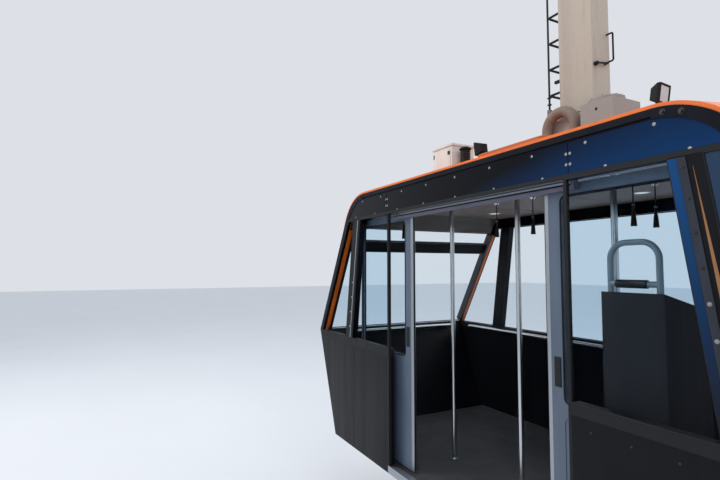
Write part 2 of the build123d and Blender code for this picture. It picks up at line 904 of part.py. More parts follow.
# Handrails along the far wall and across both ends, on short brackets
rail_level = waist_height - waist_rail_height / 2
far_rail_y = side_y - wall - handrail_stand_off
end_rail_x = foot_x(rail_level) - wall - handrail_stand_off
bracket_places = (-0.8, 0.0, 0.8)
with BuildPart() as handrails:
    far_half = end_rail_x - handrail_stand_off - 3 * handrail_diameter
    with BuildSketch(Plane.YZ.offset(-far_half)):
        with Locations((far_rail_y, z_floor + rail_level)):
            Circle(handrail_diameter / 2)
    extrude(amount=2 * far_half)
    for share in bracket_places:
        with BuildSketch(side_plane(side_y - wall - fit)):
            with Locations((share * far_half, rail_level)):
                Circle(handrail_diameter / 4)
        extrude(amount=handrail_stand_off - fit)
    end_half = far_rail_y - 3 * handrail_diameter
    for end in ends:
        with BuildSketch(side_plane(end_half)):
            with Locations((end * end_rail_x, rail_level)):
                Circle(handrail_diameter / 2)
        extrude(amount=2 * end_half)
        for share in bracket_places:
            with BuildSketch(Plane.YZ.offset(end * end_rail_x)):
                with Locations((share * end_half, z_floor + rail_level)):
                    Circle(handrail_diameter / 4)
            extrude(amount=end * (handrail_stand_off - fit - handrail_diameter / 4 * foot_tan))
finish(handrails, "handrails")

# Attendant's console: an upright cabinet beside the doorway, with a desk that slopes inwards
console_x = doorway_half + jamb_width + console_from_jamb + console_length / 2
console_front = -side_y + leaf_recess + leaf_thickness + console_from_wall - wall
console_section = [
    (console_front, fit),
    (console_front + console_depth, fit),
    (console_front + console_depth, console_height - console_desk_drop),
    (console_front, console_height),
]
console_hollow = [
    (console_front + console_wall, 0),
    (console_front + console_depth - console_wall, 0),
    (console_front + console_depth - console_wall, console_height - console_desk_drop - 2 * console_wall),
    (console_front + console_wall, console_height - 2 * console_wall),
]
with BuildPart() as console:
    with BuildSketch(Plane.YZ.offset(console_x - console_length / 2)):
        add(polygon([(across, z_floor + up) for across, up in console_section]))
    extrude(amount=console_length)
    with BuildSketch(Plane.YZ.offset(console_x - console_length / 2 + console_wall)):
        add(polygon([(across, z_floor + up) for across, up in console_hollow]))
    extrude(amount=console_length - 2 * console_wall, mode=Mode.SUBTRACT)
finish(console, "console")

# Console hoop: a bent tube that stands on the desk, with a grip bar across it
hoop_y = console_front + 2 * hoop_tube_radius
hoop_foot = z_floor + console_height - hoop_tube_radius * console_desk_drop / console_depth + fit
hoop_bar = hoop_foot + hoop_stand
hoop_top = hoop_bar + hoop_rise
with BuildPart() as console_hoop:
    with BuildLine():
        FilletPolyline(
            (console_x - hoop_length / 2, hoop_y, hoop_foot),
            (console_x - hoop_length / 2, hoop_y, hoop_top),
            (console_x + hoop_length / 2, hoop_y, hoop_top),
            (console_x + hoop_length / 2, hoop_y, hoop_foot),
            radius=hoop_corner,
        )
    with BuildSketch(Plane.XY.offset(hoop_foot)):
        with Locations((console_x - hoop_length / 2, hoop_y)):
            Circle(hoop_tube_radius)
    sweep()
    with BuildSketch(Plane.YZ.offset(console_x - hoop_length / 2)):
        with Locations((hoop_y, hoop_bar)):
            Circle(hoop_tube_radius)
    extrude(amount=hoop_length)
finish(console_hoop, "console_hoop")

# Hanger column: a welded box on a foot flange, up past the rope to its round head and long hub
column_foot_z = z_floor + column_foot_height + fit
bore_radius = swing_pin_radius + axle_clearance
with BuildPart() as hanger_column:
    with BuildSketch(Plane.XZ.offset(-column_offset - column_half)):
        with Locations((0, (swing_pin_height + column_foot_z) / 2)):
            Rectangle(column_length, swing_pin_height - column_foot_z)
        with Locations((0, swing_pin_height)):
            Circle(column_head_radius)
    extrude(amount=column_width)
    with BuildSketch(Plane.XY.offset(column_foot_z)):
        with Locations((0, column_offset)):
            Rectangle(column_length, column_width + 2 * column_foot_flange)
    extrude(amount=column_foot_flange_thickness)
    with BuildSketch(Plane.XY.offset(column_foot_z + column_foot_flange_thickness)):
        with Locations((0, column_offset)):
            Rectangle(column_length - 2 * column_wall, column_width - 2 * column_wall)
    extrude(
        amount=swing_pin_height - column_head_radius - column_foot_z - column_foot_flange_thickness,
        mode=Mode.SUBTRACT,
    )
    with BuildSketch(Plane.XZ.offset(-column_offset + column_half)):
        with Locations((0, swing_pin_height)):
            Circle(hub_radius)
    extrude(amount=column_offset - column_half - frame_outer - hub_clearance)
    with BuildSketch(Plane.XZ.offset(-column_offset - column_width)):
        with Locations((0, swing_pin_height)):
            Circle(bore_radius)
    extrude(amount=2 * (column_offset + column_width), mode=Mode.SUBTRACT)
finish(hanger_column, "hanger_column")

# Hanger foot: a box girder on the roof under the column, chamfered along its top
with BuildPart() as hanger_foot:
    foot_section = [
        (-foot_length / 2, roof_edge_height),
        (foot_length / 2, roof_edge_height),
        (foot_length / 2, column_foot_height - foot_chamfer),
        (foot_length / 2 - foot_chamfer, column_foot_height),
        (-foot_length / 2 + foot_chamfer, column_foot_height),
        (-foot_length / 2, column_foot_height - foot_chamfer),
    ]
    with BuildSketch(side_plane(column_offset + foot_width / 2)):
        add(polygon(foot_section))
    extrude(amount=foot_width)
    add(crowned_prism(roof_lip + fit, half_roof, full_length), mode=Mode.SUBTRACT)
finish(hanger_foot, "hanger_foot")

# Roof pedestal: an equipment housing beside the hanger foot, with a round lid and a cable hole
pedestal_x = foot_length / 2 + pedestal_gap + pedestal_length / 2
pedestal_y = column_offset - pedestal_set_back
pedestal_top = z_floor + roof_top_height + pedestal_rise
with BuildPart() as roof_pedestal:
    with BuildSketch(Plane.XY.offset(z_floor + roof_edge_height)):
        with Locations((pedestal_x, pedestal_y)):
            Rectangle(pedestal_length, pedestal_depth)
    extrude(amount=pedestal_top - z_floor - roof_edge_height)
    with BuildSketch(Plane.XY.offset(pedestal_top)):
        with Locations((pedestal_x, pedestal_y - pedestal_depth / 2 + pedestal_lid_radius)):
            Circle(pedestal_lid_radius)
    extrude(amount=pedestal_lid)
    with BuildSketch(Plane.XZ.offset(-pedestal_y + pedestal_depth / 2)):
        with Locations((pedestal_x, pedestal_top - pedestal_hole_drop)):
            Circle(pedestal_hole_radius)
    extrude(amount=-pedestal_hole_depth, mode=Mode.SUBTRACT)
    add(crowned_prism(roof_lip + fit, half_roof, full_length), mode=Mode.SUBTRACT)
finish(roof_pedestal, "roof_pedestal")

# Conduit bow: a pipe that rises from the roof and turns back down, with a gland for the hanger cable
bow_y = column_offset - foot_width / 2 - bow_clearance - bow_pipe_radius
bow_left = bow_shift - bow_bend_radius
bow_right = bow_shift + bow_bend_radius
bow_foot = z_floor + roof_edge_height
bow_spring = z_floor + roof_top_height + bow_rise - bow_pipe_radius - bow_bend_radius
gland_foot = bow_spring + bow_bend_radius * gland_foot_share
gland_top = bow_spring + bow_bend_radius + gland_length
with BuildPart() as conduit_bow:
    with BuildLine():
        Line((bow_left, bow_y, bow_foot), (bow_left, bow_y, bow_spring))
        ThreePointArc(
            (bow_left, bow_y, bow_spring),
            (bow_shift, bow_y, bow_spring + bow_bend_radius),
            (bow_right, bow_y, bow_spring),
        )
        Line((bow_right, bow_y, bow_spring), (bow_right, bow_y, bow_foot))
    with BuildSketch(Plane.XY.offset(bow_foot)):
        with Locations((bow_left, bow_y)):
            Circle(bow_pipe_radius)
    sweep()
    with BuildSketch(Plane.XY.offset(gland_foot)):
        with Locations((cable_x, bow_y)):
            Circle(gland_radius)
    extrude(amount=gland_top - gland_foot)
    add(crowned_prism(roof_lip + fit, half_roof, full_length), mode=Mode.SUBTRACT)
finish(conduit_bow, "conduit_bow")

# Floodlights: a housing that widens to its glass, on a rod from the roof
lamp_places = [
    # x, y, height of the stand, glass size, heading, tilt down
    (1165.0, -600.0, 56.0, 100.0, 5.0, 8.0),
    (-140.0, -600.0, 73.0, 100.0, 175.0, 8.0),
]
with BuildPart() as floodlights:
    for x, y, stand, size, heading, tilt in lamp_places:
        depth = size * lamp_depth_share
        level = z_floor + roof_top_height + stand + size / 2
        aim = Vector(1, 0, 0).rotate(Axis.Y, tilt).rotate(Axis.Z, heading)
        glass_plane = Plane(
            origin=Vector(x, y, level) + aim * (depth / 2),
            x_dir=Vector(0, 1, 0).rotate(Axis.Z, heading),
            z_dir=aim,
        )
        with BuildSketch(glass_plane.offset(-depth)):
            Rectangle(size * lamp_back_share, size * lamp_back_share)
        with BuildSketch(glass_plane.offset(-depth * lamp_rim_share)):
            Rectangle(size, size)
        loft()
        with BuildSketch(glass_plane.offset(-depth * lamp_rim_share)):
            Rectangle(size, size)
        extrude(amount=depth * lamp_rim_share)
        with BuildSketch(Plane.XY.offset(z_floor + roof_edge_height)):
            with Locations((x, y)):
                Circle(lamp_rod_radius)
        extrude(amount=level - z_floor - roof_edge_height)
    add(crowned_prism(roof_lip + fit, half_roof, full_length), mode=Mode.SUBTRACT)
finish(floodlights, "floodlights")

# Equipment box near the far end of the roof, under an overhanging lid
with BuildPart() as equipment_box:
    with BuildSketch(Plane.XY.offset(z_floor + roof_edge_height)):
        with Locations((equipment_x, equipment_y)):
            Rectangle(equipment_length, equipment_width)
    extrude(amount=roof_top_height + equipment_rise - equipment_lid - roof_edge_height)
    with BuildSketch(Plane.XY.offset(z_floor + roof_top_height + equipment_rise - equipment_lid)):
        with Locations((equipment_x, equipment_y)):
            Rectangle(equipment_length + 2 * equipment_lid_lip, equipment_width + 2 * equipment_lid_lip)
    extrude(amount=equipment_lid)
    add(crowned_prism(roof_lip + fit, half_roof, full_length), mode=Mode.SUBTRACT)
finish(equipment_box, "equipment_box")

# Step irons: open U rods up the -X face of the column
step_half = column_half - step_inset
step_inner = -column_length / 2 - fit
step_outer = -column_length / 2 - step_reach
with BuildPart() as hanger_steps:
    for number in range(step_count):
        level = column_foot_z + step_first_rise + number * step_pitch
        with BuildLine():
            FilletPolyline(
                (step_inner, column_offset - step_half, level),
                (step_outer, column_offset - step_half, level),
                (step_outer, column_offset + step_half, level),
                (step_inner, column_offset + step_half, level),
                radius=step_rod,
            )
        with BuildSketch(Plane(origin=(step_inner, column_offset - step_half, level), z_dir=(-1, 0, 0))):
            Circle(step_rod / 2)
        sweep()
finish(hanger_steps, "hanger_steps")

# Grab handles up the +X face of the column
handle_inner = column_length / 2 + fit
handle_outer = column_length / 2 + handle_reach
handle_row = column_offset + column_half - handle_inset
with BuildPart() as hanger_handles:
    for number in range(handle_count):
        low = column_foot_z + handle_first_rise + number * handle_pitch
        high = low + handle_length
        with BuildLine():
            FilletPolyline(
                (handle_inner, handle_row, low),
                (handle_outer, handle_row, low),
                (handle_outer, handle_row, high),
                (handle_inner, handle_row, high),
                radius=handle_rod,
            )
        with BuildSketch(Plane(origin=(handle_inner, handle_row, low), z_dir=(1, 0, 0))):
            Circle(handle_rod / 2)
        sweep()
finish(hanger_handles, "hanger_handles")

# Junction box near the head of the column, where the hanger cable starts
cable_box_top = swing_pin_height - cable_box_drop
column_front = column_offset - column_half
with BuildPart() as junction_box:
    with BuildSketch(Plane.XZ.offset(-column_front + fit)):
        with Locations((cable_x + cable_box_size / 2 - cable_radius * 3, cable_box_top - cable_box_size / 2)):
            RectangleRounded(cable_box_size, cable_box_size, cable_radius)
    extrude(amount=column_front - bow_y + 2 * cable_radius)
finish(junction_box, "junction_box")

# Hanger cable in front of the column, from the junction box down into the gland on the bow
cable_low = gland_top + fit
cable_high = cable_box_top - cable_box_size - fit
with BuildPart() as hanger_cable:
    with BuildSketch(Plane.XY.offset(cable_low)):
        with Locations((cable_x, bow_y)):
            Circle(cable_radius)
    extrude(amount=cable_high - cable_low)
finish(hanger_cable, "hanger_cable")

# Cable clamps: two clips above the gland and arms on the column's front face
clamp_out = bow_y - cable_radius - cable_clamp_lap
clamp_levels = [
    (cable_low + cable_high) / 2,
    cable_high - cable_clamp_width,
]
with BuildPart() as cable_clamps:
    for number in range(2):
        with BuildSketch(Plane.XY.offset(cable_low + cable_clip_rise + number * cable_clip_pitch)):
            with Locations((cable_x, bow_y)):
                Rectangle(cable_clip_length, cable_clip_width)
                Circle(cable_radius + fit, mode=Mode.SUBTRACT)
        extrude(amount=cable_clip_height)
    for level in clamp_levels:
        with BuildSketch(Plane.XY.offset(level)):
            with Locations((cable_x + cable_clamp_lap / 2, (clamp_out + column_front - fit) / 2)):
                Rectangle(cable_clamp_width, column_front - fit - clamp_out)
            with Locations((cable_x, bow_y)):
                Circle(cable_radius + fit, mode=Mode.SUBTRACT)
        extrude(amount=cable_clamp_height)
finish(cable_clamps, "cable_clamps")

# Carriage frame: two long side plates over the wheels, with cross bars, a pin sleeve and end plates
rocker_pitch = 2 * wheel_pitch
rocker_places = [rocker_pitch * (number - (rocker_count - 1) / 2) for number in range(rocker_count)]
wheels_half_length = rocker_places[-1] + wheel_pitch / 2 + wheel_flange_radius
frame_half_length = wheels_half_length + frame_overrun
cross_places = [place + shift for place in rocker_places for shift in (-wheel_pitch / 2, wheel_pitch / 2)]
hole_places = [place for place in cross_places if abs(place) > frame_top_half_length]
cross_level = frame_end_top - cross_bar_drop
with BuildPart() as carriage_frame:
    frame_outline = [
        (-frame_half_length, frame_bottom),
        (frame_half_length, frame_bottom),
        (frame_half_length, frame_end_top),
        (frame_top_half_length, frame_top),
        (-frame_top_half_length, frame_top),
        (-frame_half_length, frame_end_top),
    ]
    for start in (frame_outer, -frame_inner):
        with BuildSketch(Plane.XZ.offset(-start)):
            add(polygon(frame_outline))
            with Locations(*[(place, rocker_pin_height) for place in rocker_places]):
                Circle(rocker_pin_radius + axle_clearance, mode=Mode.SUBTRACT)
            with Locations(*[(place, rocker_pin_height) for place in hole_places]):
                Circle(frame_hole_radius, mode=Mode.SUBTRACT)
        extrude(amount=frame_plate)
    with BuildSketch(Plane.XZ.offset(-frame_inner)):
        with Locations(*[(place, cross_level) for place in cross_places if abs(place) > frame_top_half_length]):
            Rectangle(cross_bar_length, cross_bar_height)
        with Locations((0, swing_pin_height)):
            Circle(pin_sleeve_radius)
    extrude(amount=2 * frame_inner)
    with BuildSketch(Plane.XZ.offset(-frame_outer)):
        with Locations((0, swing_pin_height)):
            Circle(swing_pin_radius)
    extrude(amount=2 * frame_outer, mode=Mode.SUBTRACT)
    for end in ends:
        with BuildSketch(Plane.YZ.offset(end * (frame_half_length - frame_plate / 2) - frame_plate / 2)):
            with Locations((0, (frame_bottom + frame_end_top) / 2)):
                Rectangle(2 * frame_inner, frame_end_top - frame_bottom)
        extrude(amount=frame_plate)
finish(carriage_frame, "carriage_frame")

# Rope scrapers: plates on the frame ends that straddle the track rope
scraper_top = frame_end_top - cross_bar_drop
scraper_slot = track_rope_radius + scraper_clearance
with BuildPart() as rope_scrapers:
    for end in ends:
        start = end * (frame_half_length + fit + scraper_thickness / 2) - scraper_thickness / 2
        with BuildSketch(Plane.YZ.offset(start)):
            with BuildLine():
                Polyline(
                    (-scraper_half_width, scraper_top),
                    (-scraper_half_width, -scraper_drop),
                    (-scraper_slot, -scraper_drop),
                    (-scraper_slot, 0),
                )
                ThreePointArc((-scraper_slot, 0), (0, scraper_slot), (scraper_slot, 0))
                Polyline(
                    (scraper_slot, 0),
                    (scraper_slot, -scraper_drop),
                    (scraper_half_width, -scraper_drop),
                    (scraper_half_width, scraper_top),
                    (-scraper_half_width, scraper_top),
                )
            make_face()
        extrude(amount=scraper_thickness)
finish(rope_scrapers, "rope_scrapers")

# Hanger pin through the carriage frame and the hanger head, with a collar at each end
pin_far = column_offset + column_half + swing_pin_overrun
with BuildPart() as hanger_pin:
    with BuildSketch(Plane.XZ.offset(-pin_far)):
        with Locations((0, swing_pin_height)):
            Circle(swing_pin_radius)
    extrude(amount=pin_far + frame_outer + swing_pin_overrun)
    with BuildSketch(Plane.XZ.offset(-pin_far - swing_pin_head)):
        with Locations((0, swing_pin_height)):
            Circle(swing_pin_radius + swing_pin_collar)
    extrude(amount=swing_pin_head)
    with BuildSketch(Plane.XZ.offset(frame_outer + fit)):
        with Locations((0, swing_pin_height)):
            Circle(swing_pin_radius + swing_pin_collar)
    extrude(amount=swing_pin_head)
finish(hanger_pin, "hanger_pin")

# Haul-rope clamp: a plate down the hanger side of the carriage with the jaws under the track rope
plate_y = frame_outer + fit
jaw_bottom = -haul_rope_drop - jaw_height / 2
jaw_top = -haul_rope_drop + jaw_height / 2
jaw_section = [
    (-jaw_overhang, jaw_bottom + jaw_chamfer),
    (-jaw_overhang + jaw_chamfer, jaw_bottom),
    (plate_y + frame_plate, jaw_bottom),
    (plate_y + frame_plate, jaw_top),
    (-jaw_overhang + jaw_chamfer, jaw_top),
    (-jaw_overhang, jaw_top - jaw_chamfer),
]
with BuildPart() as haul_rope_clamp:
    with BuildSketch(Plane.XZ.offset(-plate_y - frame_plate)):
        with Locations((0, (jaw_bottom + clamp_plate_top) / 2)):
            Rectangle(2 * (clamp_half_length - clamp_plate_inset), clamp_plate_top - jaw_bottom)
    extrude(amount=frame_plate)
    with BuildSketch(Plane.YZ.offset(-clamp_half_length)):
        add(polygon(jaw_section))
        with Locations((0, -haul_rope_drop)):
            Circle(haul_rope_radius, mode=Mode.SUBTRACT)
    extrude(amount=2 * clamp_half_length)
finish(haul_rope_clamp, "haul_rope_clamp")

# Rockers: two cheeks, two axles and a pin, each carrying a pair of wheels
for number, place in enumerate(rocker_places, start=1):
    axles = [(place - wheel_pitch / 2, axle_height), (place + wheel_pitch / 2, axle_height)]
    with BuildPart() as rocker:
        for start in (cheek_outer, -cheek_inner):
            with BuildSketch(Plane.XZ.offset(-start)):
                with Locations(*axles):
                    Circle(2 * axle_radius)
                with Locations((place, rocker_pin_height)):
                    Circle(2 * rocker_pin_radius)
                make_hull()
                with Locations((place, axle_height - axle_radius / 2)):
                    Circle(cheek_hole_radius, mode=Mode.SUBTRACT)
            extrude(amount=cheek_thickness)
        with BuildSketch(Plane.XZ.offset(-cheek_outer - axle_head)):
            with Locations(*axles):
                Circle(axle_radius)
        extrude(amount=2 * (cheek_outer + axle_head))
        with BuildSketch(Plane.XZ.offset(-frame_outer)):
            with Locations((place, rocker_pin_height)):
                Circle(rocker_pin_radius)
        extrude(amount=2 * frame_outer)
    finish(rocker, f"rocker_{number}")

# Wheels: a hub with its web, a hollowed tread lining on the web and two flange discs beside it
half_wheel = wheel_width / 2
hub_section = [
    (axle_radius + axle_clearance, -half_wheel),
    (wheel_hub_radius, -half_wheel),
    (wheel_hub_radius, -web_half),
    (lining_root_radius, -web_half),
    (lining_root_radius, web_half),
    (wheel_hub_radius, web_half),
    (wheel_hub_radius, half_wheel),
    (axle_radius + axle_clearance, half_wheel),
]
flange_section = [
    (flange_eye_radius, web_half + fit),
    (lining_root_radius - fit, web_half + fit),
    (lining_root_radius - fit, lining_half + fit),
    (wheel_tread_radius + tread_hollow, lining_half + fit),
    (wheel_flange_radius, half_wheel - flange_rim),
    (wheel_flange_radius, half_wheel),
    (lining_root_radius - lining_half / 2, half_wheel),
    (flange_eye_radius, half_wheel - lining_half / 2),
]
for number in range(2 * rocker_count):
    place = wheel_pitch * (number - rocker_count + 0.5)
    turning = Axis((place, 0, axle_height), (0, 1, 0))
    with BuildPart() as wheel:
        with BuildSketch(Plane.XY.offset(axle_height)):
            add(polygon([(place + radius, across) for radius, across in hub_section]))
        revolve(axis=turning)
        for face in (-1, 1):
            with BuildSketch(Plane.XY.offset(axle_height)):
                add(polygon([(place + radius, face * across) for radius, across in flange_section]))
            revolve(axis=turning)
        with BuildSketch(Plane.XY.offset(axle_height)):
            with BuildLine():
                Polyline(
                    (place + wheel_tread_radius + tread_hollow, -lining_half),
                    (place + lining_root_radius + fit, -lining_half),
                    (place + lining_root_radius + fit, lining_half),
                    (place + wheel_tread_radius + tread_hollow, lining_half),
                )
                ThreePointArc(
                    (place + wheel_tread_radius + tread_hollow, lining_half),
                    (place + wheel_tread_radius, 0),
                    (place + wheel_tread_radius + tread_hollow, -lining_half),
                )
            make_face()
        revolve(axis=turning)
    finish(wheel, f"wheel_{number + 1}")
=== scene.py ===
"""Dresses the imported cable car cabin: finishes, glazing trim, fixings, roof gear and carriage fittings.

Metres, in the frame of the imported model: X along the rope, doors on the -Y side, +Z up, and the
origin on the track rope.
"""

import math

import bmesh
import bpy
from mathutils import Matrix, Vector


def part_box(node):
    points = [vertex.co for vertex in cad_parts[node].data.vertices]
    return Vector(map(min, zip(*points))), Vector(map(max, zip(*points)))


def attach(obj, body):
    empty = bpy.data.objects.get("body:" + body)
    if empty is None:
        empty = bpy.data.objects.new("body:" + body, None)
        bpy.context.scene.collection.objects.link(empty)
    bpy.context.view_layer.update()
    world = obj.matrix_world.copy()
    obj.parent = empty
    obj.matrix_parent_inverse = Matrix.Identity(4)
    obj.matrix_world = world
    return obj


bl_info = {
    "name": "Cable Car Cabin",
    "version": (1, 0, 0),
    "blender": (4, 5, 0),
    "location": "View3D > Sidebar > Cabin",
    "description": "Dresses an aerial tramway cabin with its hanger and carriage",
    "category": "Object",
}

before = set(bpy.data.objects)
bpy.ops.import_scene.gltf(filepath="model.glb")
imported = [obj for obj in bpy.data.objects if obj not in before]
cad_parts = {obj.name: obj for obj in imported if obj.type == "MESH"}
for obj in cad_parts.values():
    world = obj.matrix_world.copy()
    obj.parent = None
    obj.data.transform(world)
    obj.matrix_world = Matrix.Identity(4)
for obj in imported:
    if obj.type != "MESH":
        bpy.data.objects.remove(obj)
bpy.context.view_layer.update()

# Places read from the frame
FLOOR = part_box("floor_deck")[1].z
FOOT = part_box("side_lower_panels")[0].z
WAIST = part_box("side_glass")[0].z
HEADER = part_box("side_glass")[1].z
ROOF_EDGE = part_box("gutters")[1].z
FRIEZE_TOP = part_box("frieze_panels")[1].z
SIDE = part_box("side_posts")[1].y
HALF_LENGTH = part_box("waist_rails")[1].x
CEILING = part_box("ceiling_panel")[0].z
GLASS_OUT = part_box("side_glass")[1].y
BOX_LOW, BOX_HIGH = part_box("equipment_box")
AXLE_Z = (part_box("wheel_1")[0].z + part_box("wheel_1")[1].z) / 2
WHEEL_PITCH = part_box("wheel_2")[0].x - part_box("wheel_1")[0].x

# Sizes shared with the solids
END_SLOPE = math.radians(29.4)
POST_LEAN = math.radians(8.3)
POST_WIDTH = 0.139
POST_HEAD = 1.410
JAMB = 0.885
RIM_WIDTH = 0.060
CORNER_RADIUS = 0.420
ROOF_TOP = FLOOR + 2.388
ROOF_HALF_WIDTH = 0.969
ROOF_CROWN = 0.060
PANEL_HEIGHT = 1.010
PANEL_FOOT_INSET = 0.410
PILLAR_ORANGE_FROM_Y = 0.912
COLUMN_HALF_X = 0.155
COLUMN_HALF_Y = 0.1055
LINING_INNER_RADIUS = 0.0915
LINING_OUTER_RADIUS = 0.1245
LINING_HALF_WIDTH = 0.0242
WHEEL_COUNT = 8
ROCKER_COUNT = 4

# Places on the roof: x, y
FAN_PLACE = (-0.620, -0.360)
HATCH_PLACE = (0.315, -0.612)

# Neighbouring faces that turn less than this are shaded as one round surface
SMOOTH_BELOW = math.radians(20.0)

# The Mix node gives its number and colour sockets the same names, so these are taken by place
MIX_FACTOR = 0
MIX_FIRST = 6
MIX_SECOND = 7
MIX_RESULT = 2


def srgb(red, green, blue, alpha=1.0):
    """Linear colour from 0-255 display values."""
    def linear(value):
        share = value / 255
        return share / 12.92 if share <= 0.04045 else ((share + 0.055) / 1.055) ** 2.4
    return (linear(red), linear(green), linear(blue), alpha)


def slope_x(height_z, inset=0.0):
    """Half length of the upper body at a height, inset square to the sloping end."""
    return HALF_LENGTH - (height_z - WAIST) * math.tan(END_SLOPE) - inset / math.cos(END_SLOPE)


# Where the roof edge starts to roll over into the sloping end
CORNER_X = slope_x(ROOF_EDGE) - CORNER_RADIUS * math.tan((math.pi / 2 - END_SLOPE) / 2)


def roof_height(y):
    """Height of the roof's crown at a distance from its middle."""
    return ROOF_TOP - ROOF_CROWN * (y / ROOF_HALF_WIDTH) ** 2


def post_x(height_z, outward=0.0):
    """Inner edge of a leaning post at a height, or a line further out beside it."""
    return POST_HEAD + (HEADER - height_z) * math.tan(POST_LEAN) + outward


def wheel_x(number):
    """Place of a wheel along the rope, counted from 1."""
    return WHEEL_PITCH * (number - (WHEEL_COUNT + 1) / 2)


# Materials


class Finish:
    """A material being built: its Principled shader, with short calls for the nodes that feed it."""

    def __init__(self, name, colour, roughness, metallic=0.0, **sockets):
        self.material = bpy.data.materials.new(name)
        self.material.use_nodes = True
        self.tree = self.material.node_tree
        self.shader = self.tree.nodes["Principled BSDF"]
        self.set(self.shader, "Base Color", colour)
        self.set(self.shader, "Roughness", roughness)
        self.set(self.shader, "Metallic", metallic)
        for socket, value in sockets.items():
            self.set(self.shader, socket.replace("_", " "), value)
        self.material.diffuse_color = colour
        self.coordinates = self.node("ShaderNodeTexCoord")
        self.place = self.coordinates.outputs["Object"]

    @staticmethod
    def set(node, socket, value):
        """The value of a socket that nothing feeds."""
        node.inputs[socket].default_value = value

    def node(self, kind, **settings):
        """A new node with its settings."""
        made = self.tree.nodes.new(kind)
        for key, value in settings.items():
            setattr(made, key, value)
        return made

    def link(self, output, target):
        """Feed a socket from an output."""
        self.tree.links.new(output, target)

    def stretched(self, scale):
        """Object coordinates scaled along each axis."""
        mapping = self.node("ShaderNodeMapping")
        self.set(mapping, "Scale", scale)
        self.link(self.place, mapping.inputs["Vector"])
        return mapping.outputs["Vector"]

    def noise(self, scale, detail=4.0, rough=0.55, place=None):
        """Cloudy noise between 0 and 1."""
        made = self.node("ShaderNodeTexNoise")
        self.set(made, "Scale", scale)
        self.set(made, "Detail", detail)
        self.set(made, "Roughness", rough)
        self.link(place or self.place, made.inputs["Vector"])
        return made.outputs["Fac"]

    def cells(self, scale, place=None):
        """Distance to the nearest cell centre."""
        made = self.node("ShaderNodeTexVoronoi")
        self.set(made, "Scale", scale)
        self.link(place or self.place, made.inputs["Vector"])
        return made.outputs["Distance"]

    def axis(self, letter):
        """One object coordinate."""
        made = self.node("ShaderNodeSeparateXYZ")
        self.link(self.place, made.inputs["Vector"])
        return made.outputs[letter]

    def math(self, operation, first, second=None):
        """A Math node on outputs or plain numbers."""
        made = self.node("ShaderNodeMath", operation=operation)
        for index, value in enumerate((first, second)):
            if value is None:
                continue
            if isinstance(value, (int, float)):
                made.inputs[index].default_value = value
            else:
                self.link(value, made.inputs[index])
        return made.outputs["Value"]

    def ramp(self, factor, stops):
        """Colour ramp through (position, colour) stops."""
        made = self.node("ShaderNodeValToRGB")
        points = made.color_ramp.elements
        while len(points) < len(stops):
            points.new(0.5)
        for point, (position, colour) in zip(points, stops):
            point.position = position
            point.color = colour if len(colour) == 4 else (*colour, 1.0)
        self.link(factor, made.inputs["Fac"])
        return made.outputs["Color"]

    def grey(self, factor, low, high, start=0.3, end=0.7):
        """An output's range from start to end, turned into one from low to high."""
        made = self.node("ShaderNodeMapRange")
        self.set(made, "From Min", start)
        self.set(made, "From Max", end)
        self.set(made, "To Min", low)
        self.set(made, "To Max", high)
        self.link(factor, made.inputs["Value"])
        return made.outputs["Result"]

    def mix(self, factor, first, second):
        """Colour mix, each side an output or a colour."""
        made = self.node("ShaderNodeMix", data_type="RGBA")
        for place, value in ((MIX_FACTOR, factor), (MIX_FIRST, first), (MIX_SECOND, second)):
            if isinstance(value, (tuple, float)):
                self.set(made, place, value)
            else:
                self.link(value, made.inputs[place])
        return made.outputs[MIX_RESULT]

    def colour(self, output):
        """Feed the base colour."""
        self.link(output, self.shader.inputs["Base Color"])

    def colour_where(self, factor, other):
        """Another colour over the present one, where the factor is 1."""
        present = self.shader.inputs["Base Color"].links[0].from_socket
        self.colour(self.mix(factor, present, other))

    def rough(self, output):
        """Feed the roughness."""
        self.link(output, self.shader.inputs["Roughness"])

    def bump(self, height, strength, distance):
        """Surface relief from a height output."""
        made = self.node("ShaderNodeBump")
        self.set(made, "Strength", strength)
        self.set(made, "Distance", distance)
        self.link(height, made.inputs["Height"])
        self.link(made.outputs["Normal"], self.shader.inputs["Normal"])


def shade(colour, factor):
    """The same colour, darker or lighter."""
    return tuple(min(1.0, channel * factor) for channel in colour[:3]) + (1.0,)


def paint_finish(name, colour, roughness, dust, shine=0.5):
    """Coach or structural paint: faint clouding, dust streaks that run down, and orange-peel relief."""
    finish = Finish(name, colour, roughness, Specular_IOR_Level=shine)
    clouds = finish.noise(scale=2.2, detail=5.0)
    streaks = finish.noise(scale=9.0, detail=6.0, place=finish.stretched((1.0, 1.0, 0.07)))
    dirt = finish.math("MULTIPLY", clouds, streaks)
    dusty, worn = shade(colour, 1.0 - dust), shade(colour, 1.06)
    finish.colour(finish.ramp(dirt, [(0.14, dusty), (0.30, colour), (0.48, worn)]))
    finish.rough(finish.grey(streaks, roughness * 0.85, min(1.0, roughness * 1.35)))
    finish.bump(finish.noise(scale=900.0, detail=2.0), strength=0.03, distance=0.0004)
    return finish


def painted(name, colour, roughness, dust, shine=0.5):
    """The material of a plain painted surface."""
    return paint_finish(name, colour, roughness, dust, shine).material


